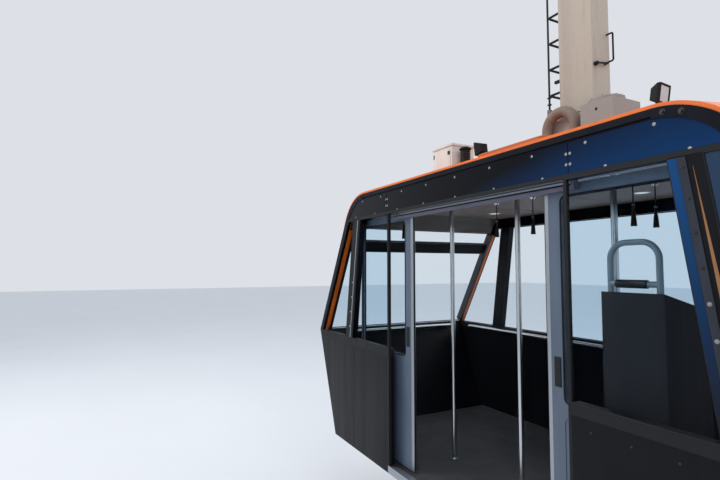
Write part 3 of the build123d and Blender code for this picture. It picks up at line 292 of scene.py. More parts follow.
def weathered_steel(name, colour, stain, roughness):
    """Old structural paint with brown run-off below its edges and fixings."""
    finish = Finish(name, colour, roughness)
    runs = finish.noise(scale=5.0, detail=8.0, rough=0.62, place=finish.stretched((3.0, 3.0, 0.35)))
    specks = finish.noise(scale=38.0, detail=6.0, rough=0.7)
    base = finish.ramp(specks, [(0.30, shade(colour, 0.90)), (0.58, colour), (0.74, shade(colour, 1.07))])
    stained = finish.grey(runs, low=0.0, high=0.85, start=0.56, end=0.74)
    finish.colour(finish.mix(stained, base, stain))
    finish.rough(finish.grey(specks, roughness * 0.9, min(1.0, roughness * 1.25)))
    finish.bump(specks, strength=0.12, distance=0.0012)
    return finish.material


def brushed_metal(name, colour, roughness, along):
    """Bare metal with fine lines drawn along one direction."""
    finish = Finish(name, colour, roughness, metallic=1.0)
    lines = finish.noise(scale=14.0, detail=6.0, rough=0.65, place=finish.stretched(along))
    finish.colour(finish.ramp(lines, [(0.32, shade(colour, 0.82)), (0.68, shade(colour, 1.08))]))
    finish.rough(finish.grey(lines, roughness * 0.75, roughness * 1.3))
    finish.bump(lines, strength=0.04, distance=0.0004)
    return finish.material


def moulded(name, colour, roughness, grain=420.0, relief=0.15):
    """Moulded plastic or rubber with a fine leathery grain."""
    finish = Finish(name, colour, roughness, Specular_IOR_Level=0.25)
    grains = finish.cells(grain)
    clouds = finish.noise(scale=6.0, detail=5.0)
    finish.colour(finish.ramp(clouds, [(0.30, shade(colour, 0.85)), (0.70, shade(colour, 1.15))]))
    finish.rough(finish.grey(clouds, roughness * 0.85, min(1.0, roughness * 1.15)))
    finish.bump(grains, relief, distance=0.0005)
    return finish.material


# Tint of the panes, and of the quarter-lights where they are clear
CLEAR_GLASS = (0.86, 0.93, 0.97, 1.0)


def window_pane():
    """Clear laminated glass: a pale blue body tint, no mirror gloss, and faint waviness."""
    finish = Finish("window_glass", CLEAR_GLASS, roughness=0.0, IOR=1.0, Transmission_Weight=1.0)
    finish.rough(finish.grey(finish.noise(scale=3.0, detail=5.0), low=0.0, high=0.008))
    finish.bump(finish.noise(scale=1.2, detail=1.0), strength=0.01, distance=0.001)
    return finish.material


def frieze_gloss():
    """High-gloss blue-black cladding with a painted reflection: bluer towards its lower edge and the
    attendant's end.
    """
    deep = srgb(1, 3, 11)
    bright = srgb(8, 52, 98)
    # Painted reflection: a blue sheen laid into the colour, rising along X towards the attendant's end and
    # fading from the frieze's foot to its top
    reflection_from_x, reflection_full_x = -0.1, 1.4
    reflection_at_foot, reflection_drop_at_top = 0.62, -0.45
    finish = Finish("frieze_gloss", deep, roughness=0.06, Specular_IOR_Level=0.12)
    rise = finish.grey(finish.axis("Z"), low=0.0, high=1.0, start=HEADER, end=FRIEZE_TOP)
    along = finish.grey(finish.axis("X"), low=-0.62, high=0.34, start=reflection_from_x, end=reflection_full_x)
    clouds = finish.grey(finish.noise(scale=1.1, detail=3.0), low=-0.12, high=0.12)
    reflection_fall = finish.math("MULTIPLY", rise, reflection_drop_at_top)
    level = finish.math("ADD", finish.math("ADD", reflection_fall, along), clouds)
    blue = finish.math("ADD", level, reflection_at_foot)
    finish.colour(finish.ramp(blue, [(0.05, deep), (0.95, bright)]))
    finish.rough(finish.grey(finish.noise(scale=4.0, detail=6.0), low=0.04, high=0.11))
    finish.bump(finish.noise(scale=0.9, detail=1.0), strength=0.02, distance=0.01)
    return finish.material


def quarter_tint():
    """Quarter-light glass: blue privacy tint at the attendant's end, clear at the other."""
    deep = srgb(14, 40, 74)
    bright = srgb(20, 64, 102)
    finish = Finish("quarter_tint", deep, roughness=0.03)
    rise = finish.grey(finish.axis("Z"), low=0.0, high=1.0, start=WAIST, end=HEADER)
    tinted = finish.math("GREATER_THAN", finish.axis("X"), 0.0)
    finish.colour(finish.mix(tinted, CLEAR_GLASS, finish.ramp(rise, [(0.0, deep), (1.0, bright)])))
    passing = finish.grey(tinted, low=1.0, high=0.45, start=0.0, end=1.0)
    bending = finish.grey(tinted, low=1.0, high=1.45, start=0.0, end=1.0)
    finish.link(passing, finish.shader.inputs["Transmission Weight"])
    finish.link(bending, finish.shader.inputs["IOR"])
    finish.rough(finish.grey(finish.noise(scale=5.0, detail=4.0), low=0.02, high=0.05))
    return finish.material


def border_tint():
    """Printed glass edge, blue at its head and darker towards the waist."""
    dark, blue = srgb(16, 24, 40), srgb(14, 66, 116)
    finish = Finish("window_border", blue, roughness=0.12, Specular_IOR_Level=0.15)
    rise = finish.grey(finish.axis("Z"), low=0.0, high=1.0, start=WAIST, end=HEADER)
    dots = finish.grey(finish.cells(scale=320.0), low=-0.04, high=0.04, start=0.0, end=0.6)
    finish.colour(finish.ramp(finish.math("ADD", rise, dots), [(0.15, dark), (0.95, blue)]))
    finish.rough(finish.grey(finish.noise(scale=6.0, detail=4.0), low=0.08, high=0.2))
    return finish.material


def studded_floor():
    """Dark floor covering with round studs."""
    colour = srgb(46, 46, 50)
    finish = Finish("studded_floor", colour, roughness=0.6)
    dust = finish.noise(scale=4.0, detail=7.0, rough=0.6)
    finish.colour(finish.ramp(dust, [(0.3, shade(colour, 0.7)), (0.7, shade(colour, 1.5))]))
    finish.rough(finish.grey(dust, low=0.45, high=0.75))
    finish.bump(finish.noise(scale=260.0, detail=3.0), strength=0.2, distance=0.0008)
    return finish.material


def wheel_iron():
    """Machined casting with a rubber lining between the flanges."""
    colour = srgb(112, 108, 104)
    finish = Finish("wheel_iron", colour, roughness=0.42, metallic=1.0)
    from_end = finish.math("ADD", finish.axis("X"), WHEEL_PITCH * WHEEL_COUNT / 2)
    from_gap = finish.math("PINGPONG", from_end, WHEEL_PITCH / 2)
    drop = finish.math("SUBTRACT", finish.axis("Z"), AXLE_Z)
    along = finish.math("SUBTRACT", from_gap, WHEEL_PITCH / 2)
    along_squared = finish.math("MULTIPLY", along, along)
    drop_squared = finish.math("MULTIPLY", drop, drop)
    radius = finish.math("SQRT", finish.math("ADD", along_squared, drop_squared))
    beyond = finish.math("GREATER_THAN", radius, LINING_INNER_RADIUS)
    within = finish.math("LESS_THAN", radius, LINING_OUTER_RADIUS)
    central = finish.math("LESS_THAN", finish.math("ABSOLUTE", finish.axis("Y")), LINING_HALF_WIDTH)
    lining = finish.math("MULTIPLY", finish.math("MULTIPLY", beyond, within), central)
    rings = finish.noise(scale=150.0, detail=4.0)
    metal = finish.ramp(rings, [(0.3, shade(colour, 0.8)), (0.7, shade(colour, 1.15))])
    finish.colour(finish.mix(lining, metal, srgb(24, 24, 25)))
    finish.link(finish.grey(lining, low=1.0, high=0.0, start=0.0, end=1.0), finish.shader.inputs["Metallic"])
    finish.rough(finish.grey(lining, low=0.38, high=0.75, start=0.0, end=1.0))
    finish.bump(rings, strength=0.08, distance=0.0008)
    return finish.material


def roof_paint(colour, lining):
    """Orange paint outside, grey lining on the faces that look into the cabin."""
    finish = paint_finish("roof_orange", colour, roughness=0.42, dust=0.16)
    cabin_middle = (0.0, 0.0, HEADER - 0.3)
    outward = finish.node("ShaderNodeVectorMath", operation="SUBTRACT")
    finish.link(finish.place, outward.inputs[0])
    finish.set(outward, 1, cabin_middle)
    facing = finish.node("ShaderNodeVectorMath", operation="DOT_PRODUCT")
    finish.link(outward.outputs["Vector"], facing.inputs[0])
    finish.link(finish.coordinates.outputs["Normal"], facing.inputs[1])
    inside = finish.math("LESS_THAN", facing.outputs["Value"], 0.0)
    finish.colour_where(inside, lining)
    return finish.material


def pillar_paint(colour):
    """Orange along the outer edge of the end pillars, black inwards."""
    finish = paint_finish("accent_orange", colour, roughness=0.4, dust=0.2)
    from_middle = finish.math("ABSOLUTE", finish.axis("Y"))
    inner = finish.math("LESS_THAN", from_middle, PILLAR_ORANGE_FROM_Y)
    finish.colour_where(inner, srgb(16, 16, 20))
    return finish.material


def lamp_lens(name, colour, strength):
    """Lamp glass or a lit lens."""
    finish = Finish(name, colour, roughness=0.12, Emission_Color=colour, Emission_Strength=strength)
    ribs = finish.noise(scale=120.0, detail=2.0)
    finish.colour(finish.ramp(ribs, [(0.3, shade(colour, 0.85)), (0.7, shade(colour, 1.1))]))
    finish.bump(ribs, strength=0.2, distance=0.001)
    return finish.material


MATERIALS = {}


def make_materials(colours):
    """Every finish of the part, by slot name."""
    roof = tuple(colours.roof) + (1.0,)
    hanger = tuple(colours.hanger) + (1.0,)
    MATERIALS.update(
        roof_orange=roof_paint(roof, srgb(92, 84, 80)),
        # The hatch is the roof orange darkened to 55 %: painted shade for the shadow that lies on it
        hatch_orange=painted("hatch_orange", shade(roof, 0.55), roughness=0.5, dust=0.25),
        accent_orange=pillar_paint(srgb(214, 96, 18)),
        rim_navy=painted("rim_navy", srgb(13, 17, 27), roughness=0.4, dust=0.3, shine=0.1),
        frieze_black=frieze_gloss(),
        body_black=painted("body_black", srgb(17, 18, 23), roughness=0.35, dust=0.3, shine=0.12),
        seal_black=moulded("seal_black", srgb(22, 23, 26), roughness=0.6),
        window_glass=window_pane(),
        quarter_tint=quarter_tint(),
        window_border=border_tint(),
        leaf_frame=painted("leaf_frame", srgb(84, 98, 116), roughness=0.42, dust=0.18),
        aluminium=brushed_metal("aluminium", srgb(166, 172, 178), roughness=0.34, along=(60.0, 60.0, 1.0)),
        header_grey=moulded("header_grey", srgb(104, 102, 120), roughness=0.5, grain=300.0, relief=0.08),
        ceiling_beige=moulded("ceiling_beige", srgb(122, 104, 96), roughness=0.55, grain=240.0, relief=0.08),
        floor_grey=studded_floor(),
        strip_grey=painted("strip_grey", srgb(46, 50, 60), roughness=0.4, dust=0.25, shine=0.2),
        steel_black=painted("steel_black", srgb(20, 20, 22), roughness=0.5, dust=0.3, shine=0.2),
        stainless=brushed_metal("stainless", srgb(200, 203, 205), roughness=0.2, along=(50.0, 50.0, 1.0)),
        grip_black=moulded("grip_black", srgb(24, 24, 26), roughness=0.45),
        console_dark=painted("console_dark", srgb(46, 42, 44), roughness=0.7, dust=0.2, shine=0.2),
        hanger_grey=weathered_steel("hanger_grey", hanger, srgb(150, 122, 100), roughness=0.55),
        gear_grey=weathered_steel("gear_grey", srgb(168, 162, 156), srgb(128, 106, 90), roughness=0.6),
        pedestal_grey=weathered_steel(
            "pedestal_grey", srgb(146, 142, 138), srgb(150, 124, 104), roughness=0.55
        ),
        pipe_brown=weathered_steel("pipe_brown", srgb(126, 112, 102), srgb(160, 138, 112), roughness=0.65),
        box_white=painted("box_white", srgb(222, 220, 216), roughness=0.42, dust=0.12),
        cable_black=moulded("cable_black", srgb(20, 20, 22), roughness=0.5),
        wheel_iron=wheel_iron(),
        machined=brushed_metal("machined", srgb(150, 150, 152), roughness=0.32, along=(1.0, 60.0, 1.0)),
        edge_line=painted("edge_line", srgb(150, 154, 160), roughness=0.4, dust=0.2),
        bolt_steel=brushed_metal("bolt_steel", srgb(170, 170, 172), roughness=0.3, along=(30.0, 30.0, 30.0)),
        dark_bolt=brushed_metal("dark_bolt", srgb(70, 70, 74), roughness=0.4, along=(30.0, 30.0, 30.0)),
        lamp_glass=lamp_lens("lamp_glass", srgb(188, 196, 202), strength=0.0),
        light_lens=lamp_lens("light_lens", srgb(240, 240, 234), strength=0.6),
        hoop_grey=painted("hoop_grey", srgb(116, 126, 132), roughness=0.35, dust=0.15, shine=0.4),
        # The tan band on the posts is a painted reflection of a railing, not a trim of its own
        tan_trim=moulded("tan_trim", srgb(142, 100, 64), roughness=0.5),
    )


NODE_FINISHES = {
    "cable_clamps": "steel_black",
    "carriage_frame": "hanger_grey",
    "ceiling_panel": "ceiling_beige",
    "conduit_bow": "pipe_brown",
    "console": "console_dark",
    "console_hoop": "hoop_grey",
    "door_header": "header_grey",
    "door_left_frame": "leaf_frame",
    "door_left_glass": "window_glass",
    "door_left_nosing": "aluminium",
    "door_rail": "aluminium",
    "door_right_frame": "leaf_frame",
    "door_right_glass": "window_glass",
    "door_right_nosing": "aluminium",
    "door_threshold": "aluminium",
    "end_buffers": "seal_black",
    "end_glass": "window_glass",
    "end_lower_panels": "body_black",
    "end_pillars": "accent_orange",
    "end_rims": "rim_navy",
    "end_transoms": "seal_black",
    "equipment_box": "box_white",
    "floodlights": "steel_black",
    "floor_deck": "floor_grey",
    "frieze_panels": "frieze_black",
    "grab_poles": "stainless",
    "gutters": "rim_navy",
    "hand_grips": "grip_black",
    "handrails": "stainless",
    "hanger_cable": "cable_black",
    "hanger_column": "hanger_grey",
    "hanger_foot": "gear_grey",
    "hanger_handles": "steel_black",
    "hanger_pin": "machined",
    "hanger_steps": "steel_black",
    "haul_rope_clamp": "gear_grey",
    "junction_box": "gear_grey",
    "mullions": "seal_black",
    "quarter_glass": "quarter_tint",
    "rocker": "gear_grey",
    "roof_pedestal": "pedestal_grey",
    "roof_shell": "roof_orange",
    "rope_scrapers": "machined",
    "side_glass": "window_glass",
    "side_lower_panels": "body_black",
    "side_posts": "body_black",
    "underframe": "steel_black",
    "waist_rails": "seal_black",
    "wheel": "wheel_iron",
}


# Meshes


def smooth_rounds(mesh):
    """Shade round bars and rings smooth. Flat faces, caps and bevels keep their edges."""
    work = bmesh.new()
    work.from_mesh(mesh)
    for face in work.faces:
        face.smooth = True
    for edge in work.edges:
        sides = edge.link_faces
        round_side = len(sides) == 2 and all(len(face.verts) == 4 for face in sides)
        edge.smooth = round_side and edge.calc_face_angle() < SMOOTH_BELOW
    work.to_mesh(mesh)
    work.free()


def finished(name, mesh, finish, body):
    """An object at the origin with its finish, riding on a body."""
    smooth_rounds(mesh)
    piece = bpy.data.objects.new(name, mesh)
    bpy.context.scene.collection.objects.link(piece)
    if finish:
        mesh.materials.clear()
        mesh.materials.append(MATERIALS[finish])
    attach(piece, body)
    return piece


def from_bmesh(name, work, finish, body):
    """Turn a bmesh into a finished piece with its faces outwards."""
    bmesh.ops.recalc_face_normals(work, faces=work.faces)
    mesh = bpy.data.meshes.new(name)
    work.to_mesh(mesh)
    work.free()
    return finished(name, mesh, finish, body)


def add_block(work, low, high, bevel=0.0):
    """A block between two corners, with bevelled edges."""
    low, high = Vector(low), Vector(high)
    place = Matrix.Translation((low + high) / 2) @ Matrix.Diagonal((*(high - low), 1.0))
    made = bmesh.ops.create_cube(work, size=1.0, matrix=place)
    if bevel:
        edges = list({edge for vert in made["verts"] for edge in vert.link_edges})
        bmesh.ops.bevel(work, geom=edges, offset=bevel, segments=2, affect="EDGES")


def add_slab(work, corners, thickness, bevel=0.0):
    """A flat slab over the given corners, thickened along their normal."""
    verts = [work.verts.new(corner) for corner in corners]
    face = work.faces.new(verts)
    face.normal_update()
    normal = face.normal.copy()
    made = bmesh.ops.extrude_face_region(work, geom=[face])
    moved = [item for item in made["geom"] if isinstance(item, bmesh.types.BMVert)]
    bmesh.ops.translate(work, verts=moved, vec=normal * thickness)
    if bevel:
        edges = list({edge for vert in verts + moved for edge in vert.link_edges})
        bmesh.ops.bevel(work, geom=edges, offset=bevel, segments=2, affect="EDGES")


def add_rod(work, start, end, radius, sides=24, end_radius=None, bevel=0.0):
    """A round bar or cone between two points."""
    start, end = Vector(start), Vector(end)
    turn = (end - start).to_track_quat("Z", "Y").to_matrix().to_4x4()
    made = bmesh.ops.create_cone(
        work,
        cap_ends=True,
        segments=sides,
        radius1=radius,
        radius2=radius if end_radius is None else end_radius,
        depth=(end - start).length,
        matrix=Matrix.Translation((start + end) / 2) @ turn,
    )
    if bevel:
        rims = [
            edge
            for edge in {edge for vert in made["verts"] for edge in vert.link_edges}
            if any(len(face.verts) > 4 for face in edge.link_faces)
        ]
        bmesh.ops.bevel(work, geom=rims, offset=bevel, segments=2, affect="EDGES")


def round_corners(x, y, half_x, half_y, radius, steps=8):
    """Outline of a rectangle with round corners, counted from above."""
    points = []
    for sign_x, sign_y, first in ((1, 1, 0), (-1, 1, 90), (-1, -1, 180), (1, -1, 270)):
        for step in range(steps + 1):
            angle = math.radians(first + 90 * step / steps)
            centre_x, centre_y = x + sign_x * (half_x - radius), y + sign_y * (half_y - radius)
            points.append((centre_x + radius * math.cos(angle), centre_y + radius * math.sin(angle)))
    return points


def add_rings(work, rings):
    """Skin over a stack of matching point rings, closed at both ends."""
    rows = [[work.verts.new(point) for point in ring] for ring in rings]
    count = len(rows[0])
    for below, above in zip(rows, rows[1:]):
        for index in range(count):
            after = (index + 1) % count
            work.faces.new((below[index], below[after], above[after], above[index]))
    work.faces.new(list(reversed(rows[0])))
    work.faces.new(rows[-1])


# Geometry Nodes


def new_tree(name, sockets):
    """A geometry node tree with named inputs and one geometry output."""
    tree = bpy.data.node_groups.new(name, "GeometryNodeTree")
    tree.interface.new_socket("Guide", in_out="INPUT", socket_type="NodeSocketGeometry")
    for label, kind, value in sockets:
        made = tree.interface.new_socket(label, in_out="INPUT", socket_type=kind)
        if value is not None:
            made.default_value = value
    tree.interface.new_socket("Result", in_out="OUTPUT", socket_type="NodeSocketGeometry")
    return tree, tree.nodes.new("NodeGroupInput"), tree.nodes.new("NodeGroupOutput")


def fixings_tree():
    """A head on a washer at each guide point, standing along the point's facing."""
    tree, inside, outside = new_tree(
        "fixings",
        [
            ("Sides", "NodeSocketInt", 6),
            ("Head radius", "NodeSocketFloat", 0.008),
            ("Head height", "NodeSocketFloat", 0.006),
            ("Crown", "NodeSocketFloat", 0.9),
            ("Washer sides", "NodeSocketInt", 20),
            ("Washer radius", "NodeSocketFloat", 0.012),
            ("Washer height", "NodeSocketFloat", 0.002),
            ("Finish", "NodeSocketMaterial", None),
        ],
    )
    nodes, links = tree.nodes, tree.links
    head = nodes.new("GeometryNodeMeshCone")
    washer = nodes.new("GeometryNodeMeshCylinder")
    crown = nodes.new("ShaderNodeMath")
    crown.operation = "MULTIPLY"
    lift = nodes.new("ShaderNodeCombineXYZ")
    rise = nodes.new("GeometryNodeTransform")
    joined = nodes.new("GeometryNodeJoinGeometry")
    facing = nodes.new("GeometryNodeInputNamedAttribute")
    facing.data_type = "FLOAT_VECTOR"
    facing.inputs["Name"].default_value = "facing"
    align = nodes.new("FunctionNodeAlignRotationToVector")
    align.axis = "Z"
    placed = nodes.new("GeometryNodeInstanceOnPoints")
    real = nodes.new("GeometryNodeRealizeInstances")
    coat = nodes.new("GeometryNodeSetMaterial")
    links.new(inside.outputs["Sides"], head.inputs["Vertices"])
    links.new(inside.outputs["Head radius"], head.inputs["Radius Bottom"])
    links.new(inside.outputs["Head radius"], crown.inputs[0])
    links.new(inside.outputs["Crown"], crown.inputs[1])
    links.new(crown.outputs[0], head.inputs["Radius Top"])
    links.new(inside.outputs["Head height"], head.inputs["Depth"])
    links.new(inside.outputs["Washer height"], lift.inputs["Z"])
    links.new(head.outputs["Mesh"], rise.inputs["Geometry"])
    links.new(lift.outputs["Vector"], rise.inputs["Translation"])
    links.new(inside.outputs["Washer sides"], washer.inputs["Vertices"])
    links.new(inside.outputs["Washer radius"], washer.inputs["Radius"])
    links.new(inside.outputs["Washer height"], washer.inputs["Depth"])
    links.new(rise.outputs["Geometry"], joined.inputs["Geometry"])
    links.new(washer.outputs["Mesh"], joined.inputs["Geometry"])
    links.new(facing.outputs["Attribute"], align.inputs["Vector"])
    links.new(inside.outputs["Guide"], placed.inputs["Points"])
    links.new(joined.outputs["Geometry"], placed.inputs["Instance"])
    links.new(align.outputs["Rotation"], placed.inputs["Rotation"])
    links.new(placed.outputs["Instances"], real.inputs["Geometry"])
    links.new(real.outputs["Geometry"], coat.inputs["Geometry"])
    links.new(inside.outputs["Finish"], coat.inputs["Material"])
    links.new(coat.outputs["Geometry"], outside.inputs["Result"])
    return tree


def bead_tree():
    """A bead of round section that follows the guide's edges."""
    tree, inside, outside = new_tree(
        "beads",
        [
            ("Radius", "NodeSocketFloat", 0.006),
            ("Sides", "NodeSocketInt", 8),
            ("Finish", "NodeSocketMaterial", None),
        ],
    )
    nodes, links = tree.nodes, tree.links
    path = nodes.new("GeometryNodeMeshToCurve")
    section = nodes.new("GeometryNodeCurvePrimitiveCircle")
    swept = nodes.new("GeometryNodeCurveToMesh")
    swept.inputs["Fill Caps"].default_value = True
    real = nodes.new("GeometryNodeRealizeInstances")
    coat = nodes.new("GeometryNodeSetMaterial")
    links.new(inside.outputs["Guide"], path.inputs["Mesh"])
    links.new(inside.outputs["Sides"], section.inputs["Resolution"])
    links.new(inside.outputs["Radius"], section.inputs["Radius"])
    links.new(path.outputs["Curve"], swept.inputs["Curve"])
    links.new(section.outputs["Curve"], swept.inputs["Profile Curve"])
    links.new(swept.outputs["Mesh"], real.inputs["Geometry"])
    links.new(real.outputs["Geometry"], coat.inputs["Geometry"])
    links.new(inside.outputs["Finish"], coat.inputs["Material"])
    links.new(coat.outputs["Geometry"], outside.inputs["Result"])
    return tree


def grown(name, guide, tree, body, **inputs):
    """Run a tree over a guide mesh and keep the plain mesh that it makes."""
    holder = bpy.data.objects.new(f"{name}_guide", guide)
    bpy.context.scene.collection.objects.link(holder)
    modifier = holder.modifiers.new("made", "NODES")
    modifier.node_group = tree
    keys = {item.name: item.identifier for item in tree.interface.items_tree if item.in_out == "INPUT"}
    for label, value in inputs.items():
        modifier[keys[label.replace("_", " ")]] = value
    bpy.context.view_layer.update()
    evaluated = holder.evaluated_get(bpy.context.evaluated_depsgraph_get())
    mesh = bpy.data.meshes.new_from_object(evaluated)
    mesh.name = name
    bpy.data.objects.remove(holder)
    return finished(name, mesh, None, body)


def fixings(name, places, body, finish, **inputs):
    """Bolts or screws at (point, facing) places."""
    guide = bpy.data.meshes.new(f"{name}_points")
    guide.from_pydata([tuple(point) for point, _ in places], [], [])
    facing = guide.attributes.new("facing", "FLOAT_VECTOR", "POINT")
    for index, (_, direction) in enumerate(places):
        facing.data[index].vector = direction
    return grown(name, guide, bpy.data.node_groups["fixings"], body, Finish=MATERIALS[finish], **inputs)


def beads(name, loops, body, finish, closed=True, **inputs):
    """Beads along a list of point loops."""
    verts, edges = [], []
    for loop in loops:
        first = len(verts)
        verts.extend(tuple(point) for point in loop)
        edges.extend((first + i, first + i + 1) for i in range(len(loop) - 1))
        if closed:
            edges.append((first + len(loop) - 1, first))
    guide = bpy.data.meshes.new(f"{name}_path")
    guide.from_pydata(verts, edges, [])
    return grown(name, guide, bpy.data.node_groups["beads"], body, Finish=MATERIALS[finish], **inputs)


def circle(radius, count, turned=0.0):
    """Points round a circle, as pairs, turned on by a share of their pitch."""
    turns = [math.tau * (index + turned) / count for index in range(count)]
    return [(radius * math.cos(turn), radius * math.sin(turn)) for turn in turns]


def spread(start, end, count):
    """Evenly spread points from one end to the other."""
    start, end = Vector(start), Vector(end)
    return [start.lerp(end, index / (count - 1)) for index in range(count)]


# Settings


class CabinSizes(bpy.types.PropertyGroup):
    """Lengths that can be set in the sidebar."""
    gasket: bpy.props.FloatProperty(
        name="Gasket",
        description="Radius of the window gaskets",
        default=0.006,
        unit="LENGTH",
    )
    border: bpy.props.FloatProperty(
        name="Border",
        description="Width of the tinted border on the side windows",
        default=0.037,
        unit="LENGTH",
    )
    strip: bpy.props.FloatProperty(
        name="Strip",
        description="Width of the bolted strip on the leaning posts",
        default=0.034,
        unit="LENGTH",
    )
    screw_pitch: bpy.props.FloatProperty(
        name="Screw pitch",
        description="Distance between the frieze screws",
        default=0.335,
        unit="LENGTH",
    )
    bolt_radius: bpy.props.FloatProperty(
        name="Bolt radius",
        description="Washer radius of the structural bolts",
        default=0.014,
        unit="LENGTH",
    )
    stud_pitch: bpy.props.FloatProperty(
        name="Stud pitch",
        description="Distance between the studs of the floor",
        default=0.045,
        unit="LENGTH",
    )


class CabinColours(bpy.types.PropertyGroup):
    """Colours that can be set in the sidebar."""
    roof: bpy.props.FloatVectorProperty(
        name="Roof",
        description="Paint of the roof shell",
        default=srgb(240, 112, 20)[:3],
        subtype="COLOR",
        min=0.0,
        max=1.0,
    )
    hanger: bpy.props.FloatVectorProperty(
        name="Hanger",
        description="Paint of the hanger and the carriage",
        default=srgb(176, 165, 152)[:3],
        subtype="COLOR",
        min=0.0,
        max=1.0,
    )
    backdrop: bpy.props.FloatVectorProperty(
        name="Backdrop",
        description="Pale ground behind the cabin",
        default=srgb(226, 230, 236)[:3],
        subtype="COLOR",
        min=0.0,
        max=1.0,
    )


class CabinStep(bpy.types.Operator):
    """Common ground of the cabin's operators."""
    bl_options = {"REGISTER", "UNDO"}

    @property
    def sizes(self):
        return bpy.context.scene.cabin_sizes

    @property
    def colours(self):
        return bpy.context.scene.cabin_colours


class CABIN_OT_camera(CabinStep):
    """Stand the camera beside the cabin at eye height, looking along its door side"""
    bl_idname = "cabin.camera"
    bl_label = "Camera"

    def execute(self, context):
        eye_height = 1.62
        picture_width, horizon_below_middle = 720, 28
        data = bpy.data.cameras.new("camera")
        data.lens = 24.0
        data.sensor_width = 36.0
        data.clip_end = 200.0
        camera = bpy.data.objects.new("camera", data)
        context.scene.collection.objects.link(camera)
        focal_length = picture_width * data.lens / data.sensor_width
        pitch = math.atan(horizon_below_middle / focal_length)
        heading = Vector((-0.889, 0.457, 0.0)).normalized()
        aim = heading * math.cos(pitch) + Vector((0, 0, math.sin(pitch)))
        camera.location = (2.593, -3.031, FLOOR + eye_height)
        camera.rotation_euler = aim.to_track_quat("-Z", "Y").to_euler()
        context.scene.camera = camera
        return {"FINISHED"}


class CABIN_OT_stage(CabinStep):
    """Lay a pale floor under the cabin and light it softly"""
    bl_idname = "cabin.stage"
    bl_label = "Stage"

    def execute(self, context):
        backdrop = tuple(self.colours.backdrop) + (1.0,)
        self.ground(context, backdrop)
        self.world(context, backdrop)
        self.lamps(context)
        context.scene.view_settings.view_transform = "Standard"
        return {"FINISHED"}

    def ground(self, context, backdrop):
        """A wide pale floor below the cabin, which catches its shadow."""
        ground_reach, ground_drop = 60.0, 0.9
        work = bmesh.new()
        bmesh.ops.create_grid(work, x_segments=1, y_segments=1, size=ground_reach)
        mesh = bpy.data.meshes.new("ground")
        work.to_mesh(mesh)
        work.free()
        mesh.transform(Matrix.Translation((0, 0, FLOOR - ground_drop)))
        ground = bpy.data.objects.new("ground", mesh)
        context.scene.collection.objects.link(ground)
        finish = Finish("ground", backdrop, roughness=0.9)
        clouds = finish.noise(scale=0.5, detail=4.0)
        finish.colour(finish.ramp(clouds, [(0.3, shade(backdrop, 0.97)), (0.7, backdrop)]))
        mesh.materials.append(finish.material)

    def world(self, context, backdrop):
        """Soft light from all round. The camera, glass and metal see the plain backdrop."""
        world = bpy.data.worlds.new("studio")
        context.scene.world = world
        world.use_nodes = True
        tree = world.node_tree
        light = tree.nodes["Background"]
        light.inputs["Color"].default_value = srgb(236, 240, 246)
        light.inputs["Strength"].default_value = 0.85
        seen = tree.nodes.new("ShaderNodeBackground")
        seen.inputs["Color"].default_value = backdrop
        seen.inputs["Strength"].default_value = 0.95
        path = tree.nodes.new("ShaderNodeLightPath")
        direct = tree.nodes.new("ShaderNodeMath")
        direct.operation = "MAXIMUM"
        shown = tree.nodes.new("ShaderNodeMath")
        shown.operation = "MAXIMUM"
        blend = tree.nodes.new("ShaderNodeMixShader")
        tree.links.new(path.outputs["Is Camera Ray"], direct.inputs[0])
        tree.links.new(path.outputs["Is Transmission Ray"], direct.inputs[1])
        tree.links.new(direct.outputs["Value"], shown.inputs[0])
        tree.links.new(path.outputs["Is Glossy Ray"], shown.inputs[1])
        tree.links.new(shown.outputs["Value"], blend.inputs["Fac"])
        tree.links.new(light.outputs["Background"], blend.inputs[1])
        tree.links.new(seen.outputs["Background"], blend.inputs[2])
        tree.links.new(blend.outputs["Shader"], tree.nodes["World Output"].inputs["Surface"])

    def lamps(self, context):
        """Three large soft lamps: from the doors' side, from the near end and from behind."""
        lamps = [
            # name, place, aim, size, power, colour
            ("key", (-6.0, -8.0, 5.0), (0, 0, -3.2), 5.5, 700, (1.0, 0.96, 0.90)),
            ("side", (9.0, -3.0, 2.0), (1.5, 0, -3.6), 7.0, 260, (0.97, 0.98, 1.0)),
            ("back", (2.0, 9.0, 3.0), (0, 0, -3.6), 8.0, 240, (0.95, 0.97, 1.0)),
        ]
        for name, place, aim, size, power, colour in lamps:
            data = bpy.data.lights.new(name, "AREA")
            data.size = size
            data.energy = power
            data.color = colour
            lamp = bpy.data.objects.new(name, data)
            lamp.location = place
            lamp.rotation_euler = (Vector(aim) - Vector(place)).to_track_quat("-Z", "Y").to_euler()
            context.scene.collection.objects.link(lamp)


class CABIN_OT_finishes(CabinStep):
    """Give every solid of the frame its finish"""
    bl_idname = "cabin.finishes"
    bl_label = "Finishes"

    def execute(self, context):
        make_materials(self.colours)
        fixings_tree()
        bead_tree()
        for name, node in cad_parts.items():
            finish = NODE_FINISHES.get(name) or NODE_FINISHES[name.rstrip("0123456789").rstrip("_")]
            node.data.materials.clear()
            node.data.materials.append(MATERIALS[finish])
        return {"FINISHED"}


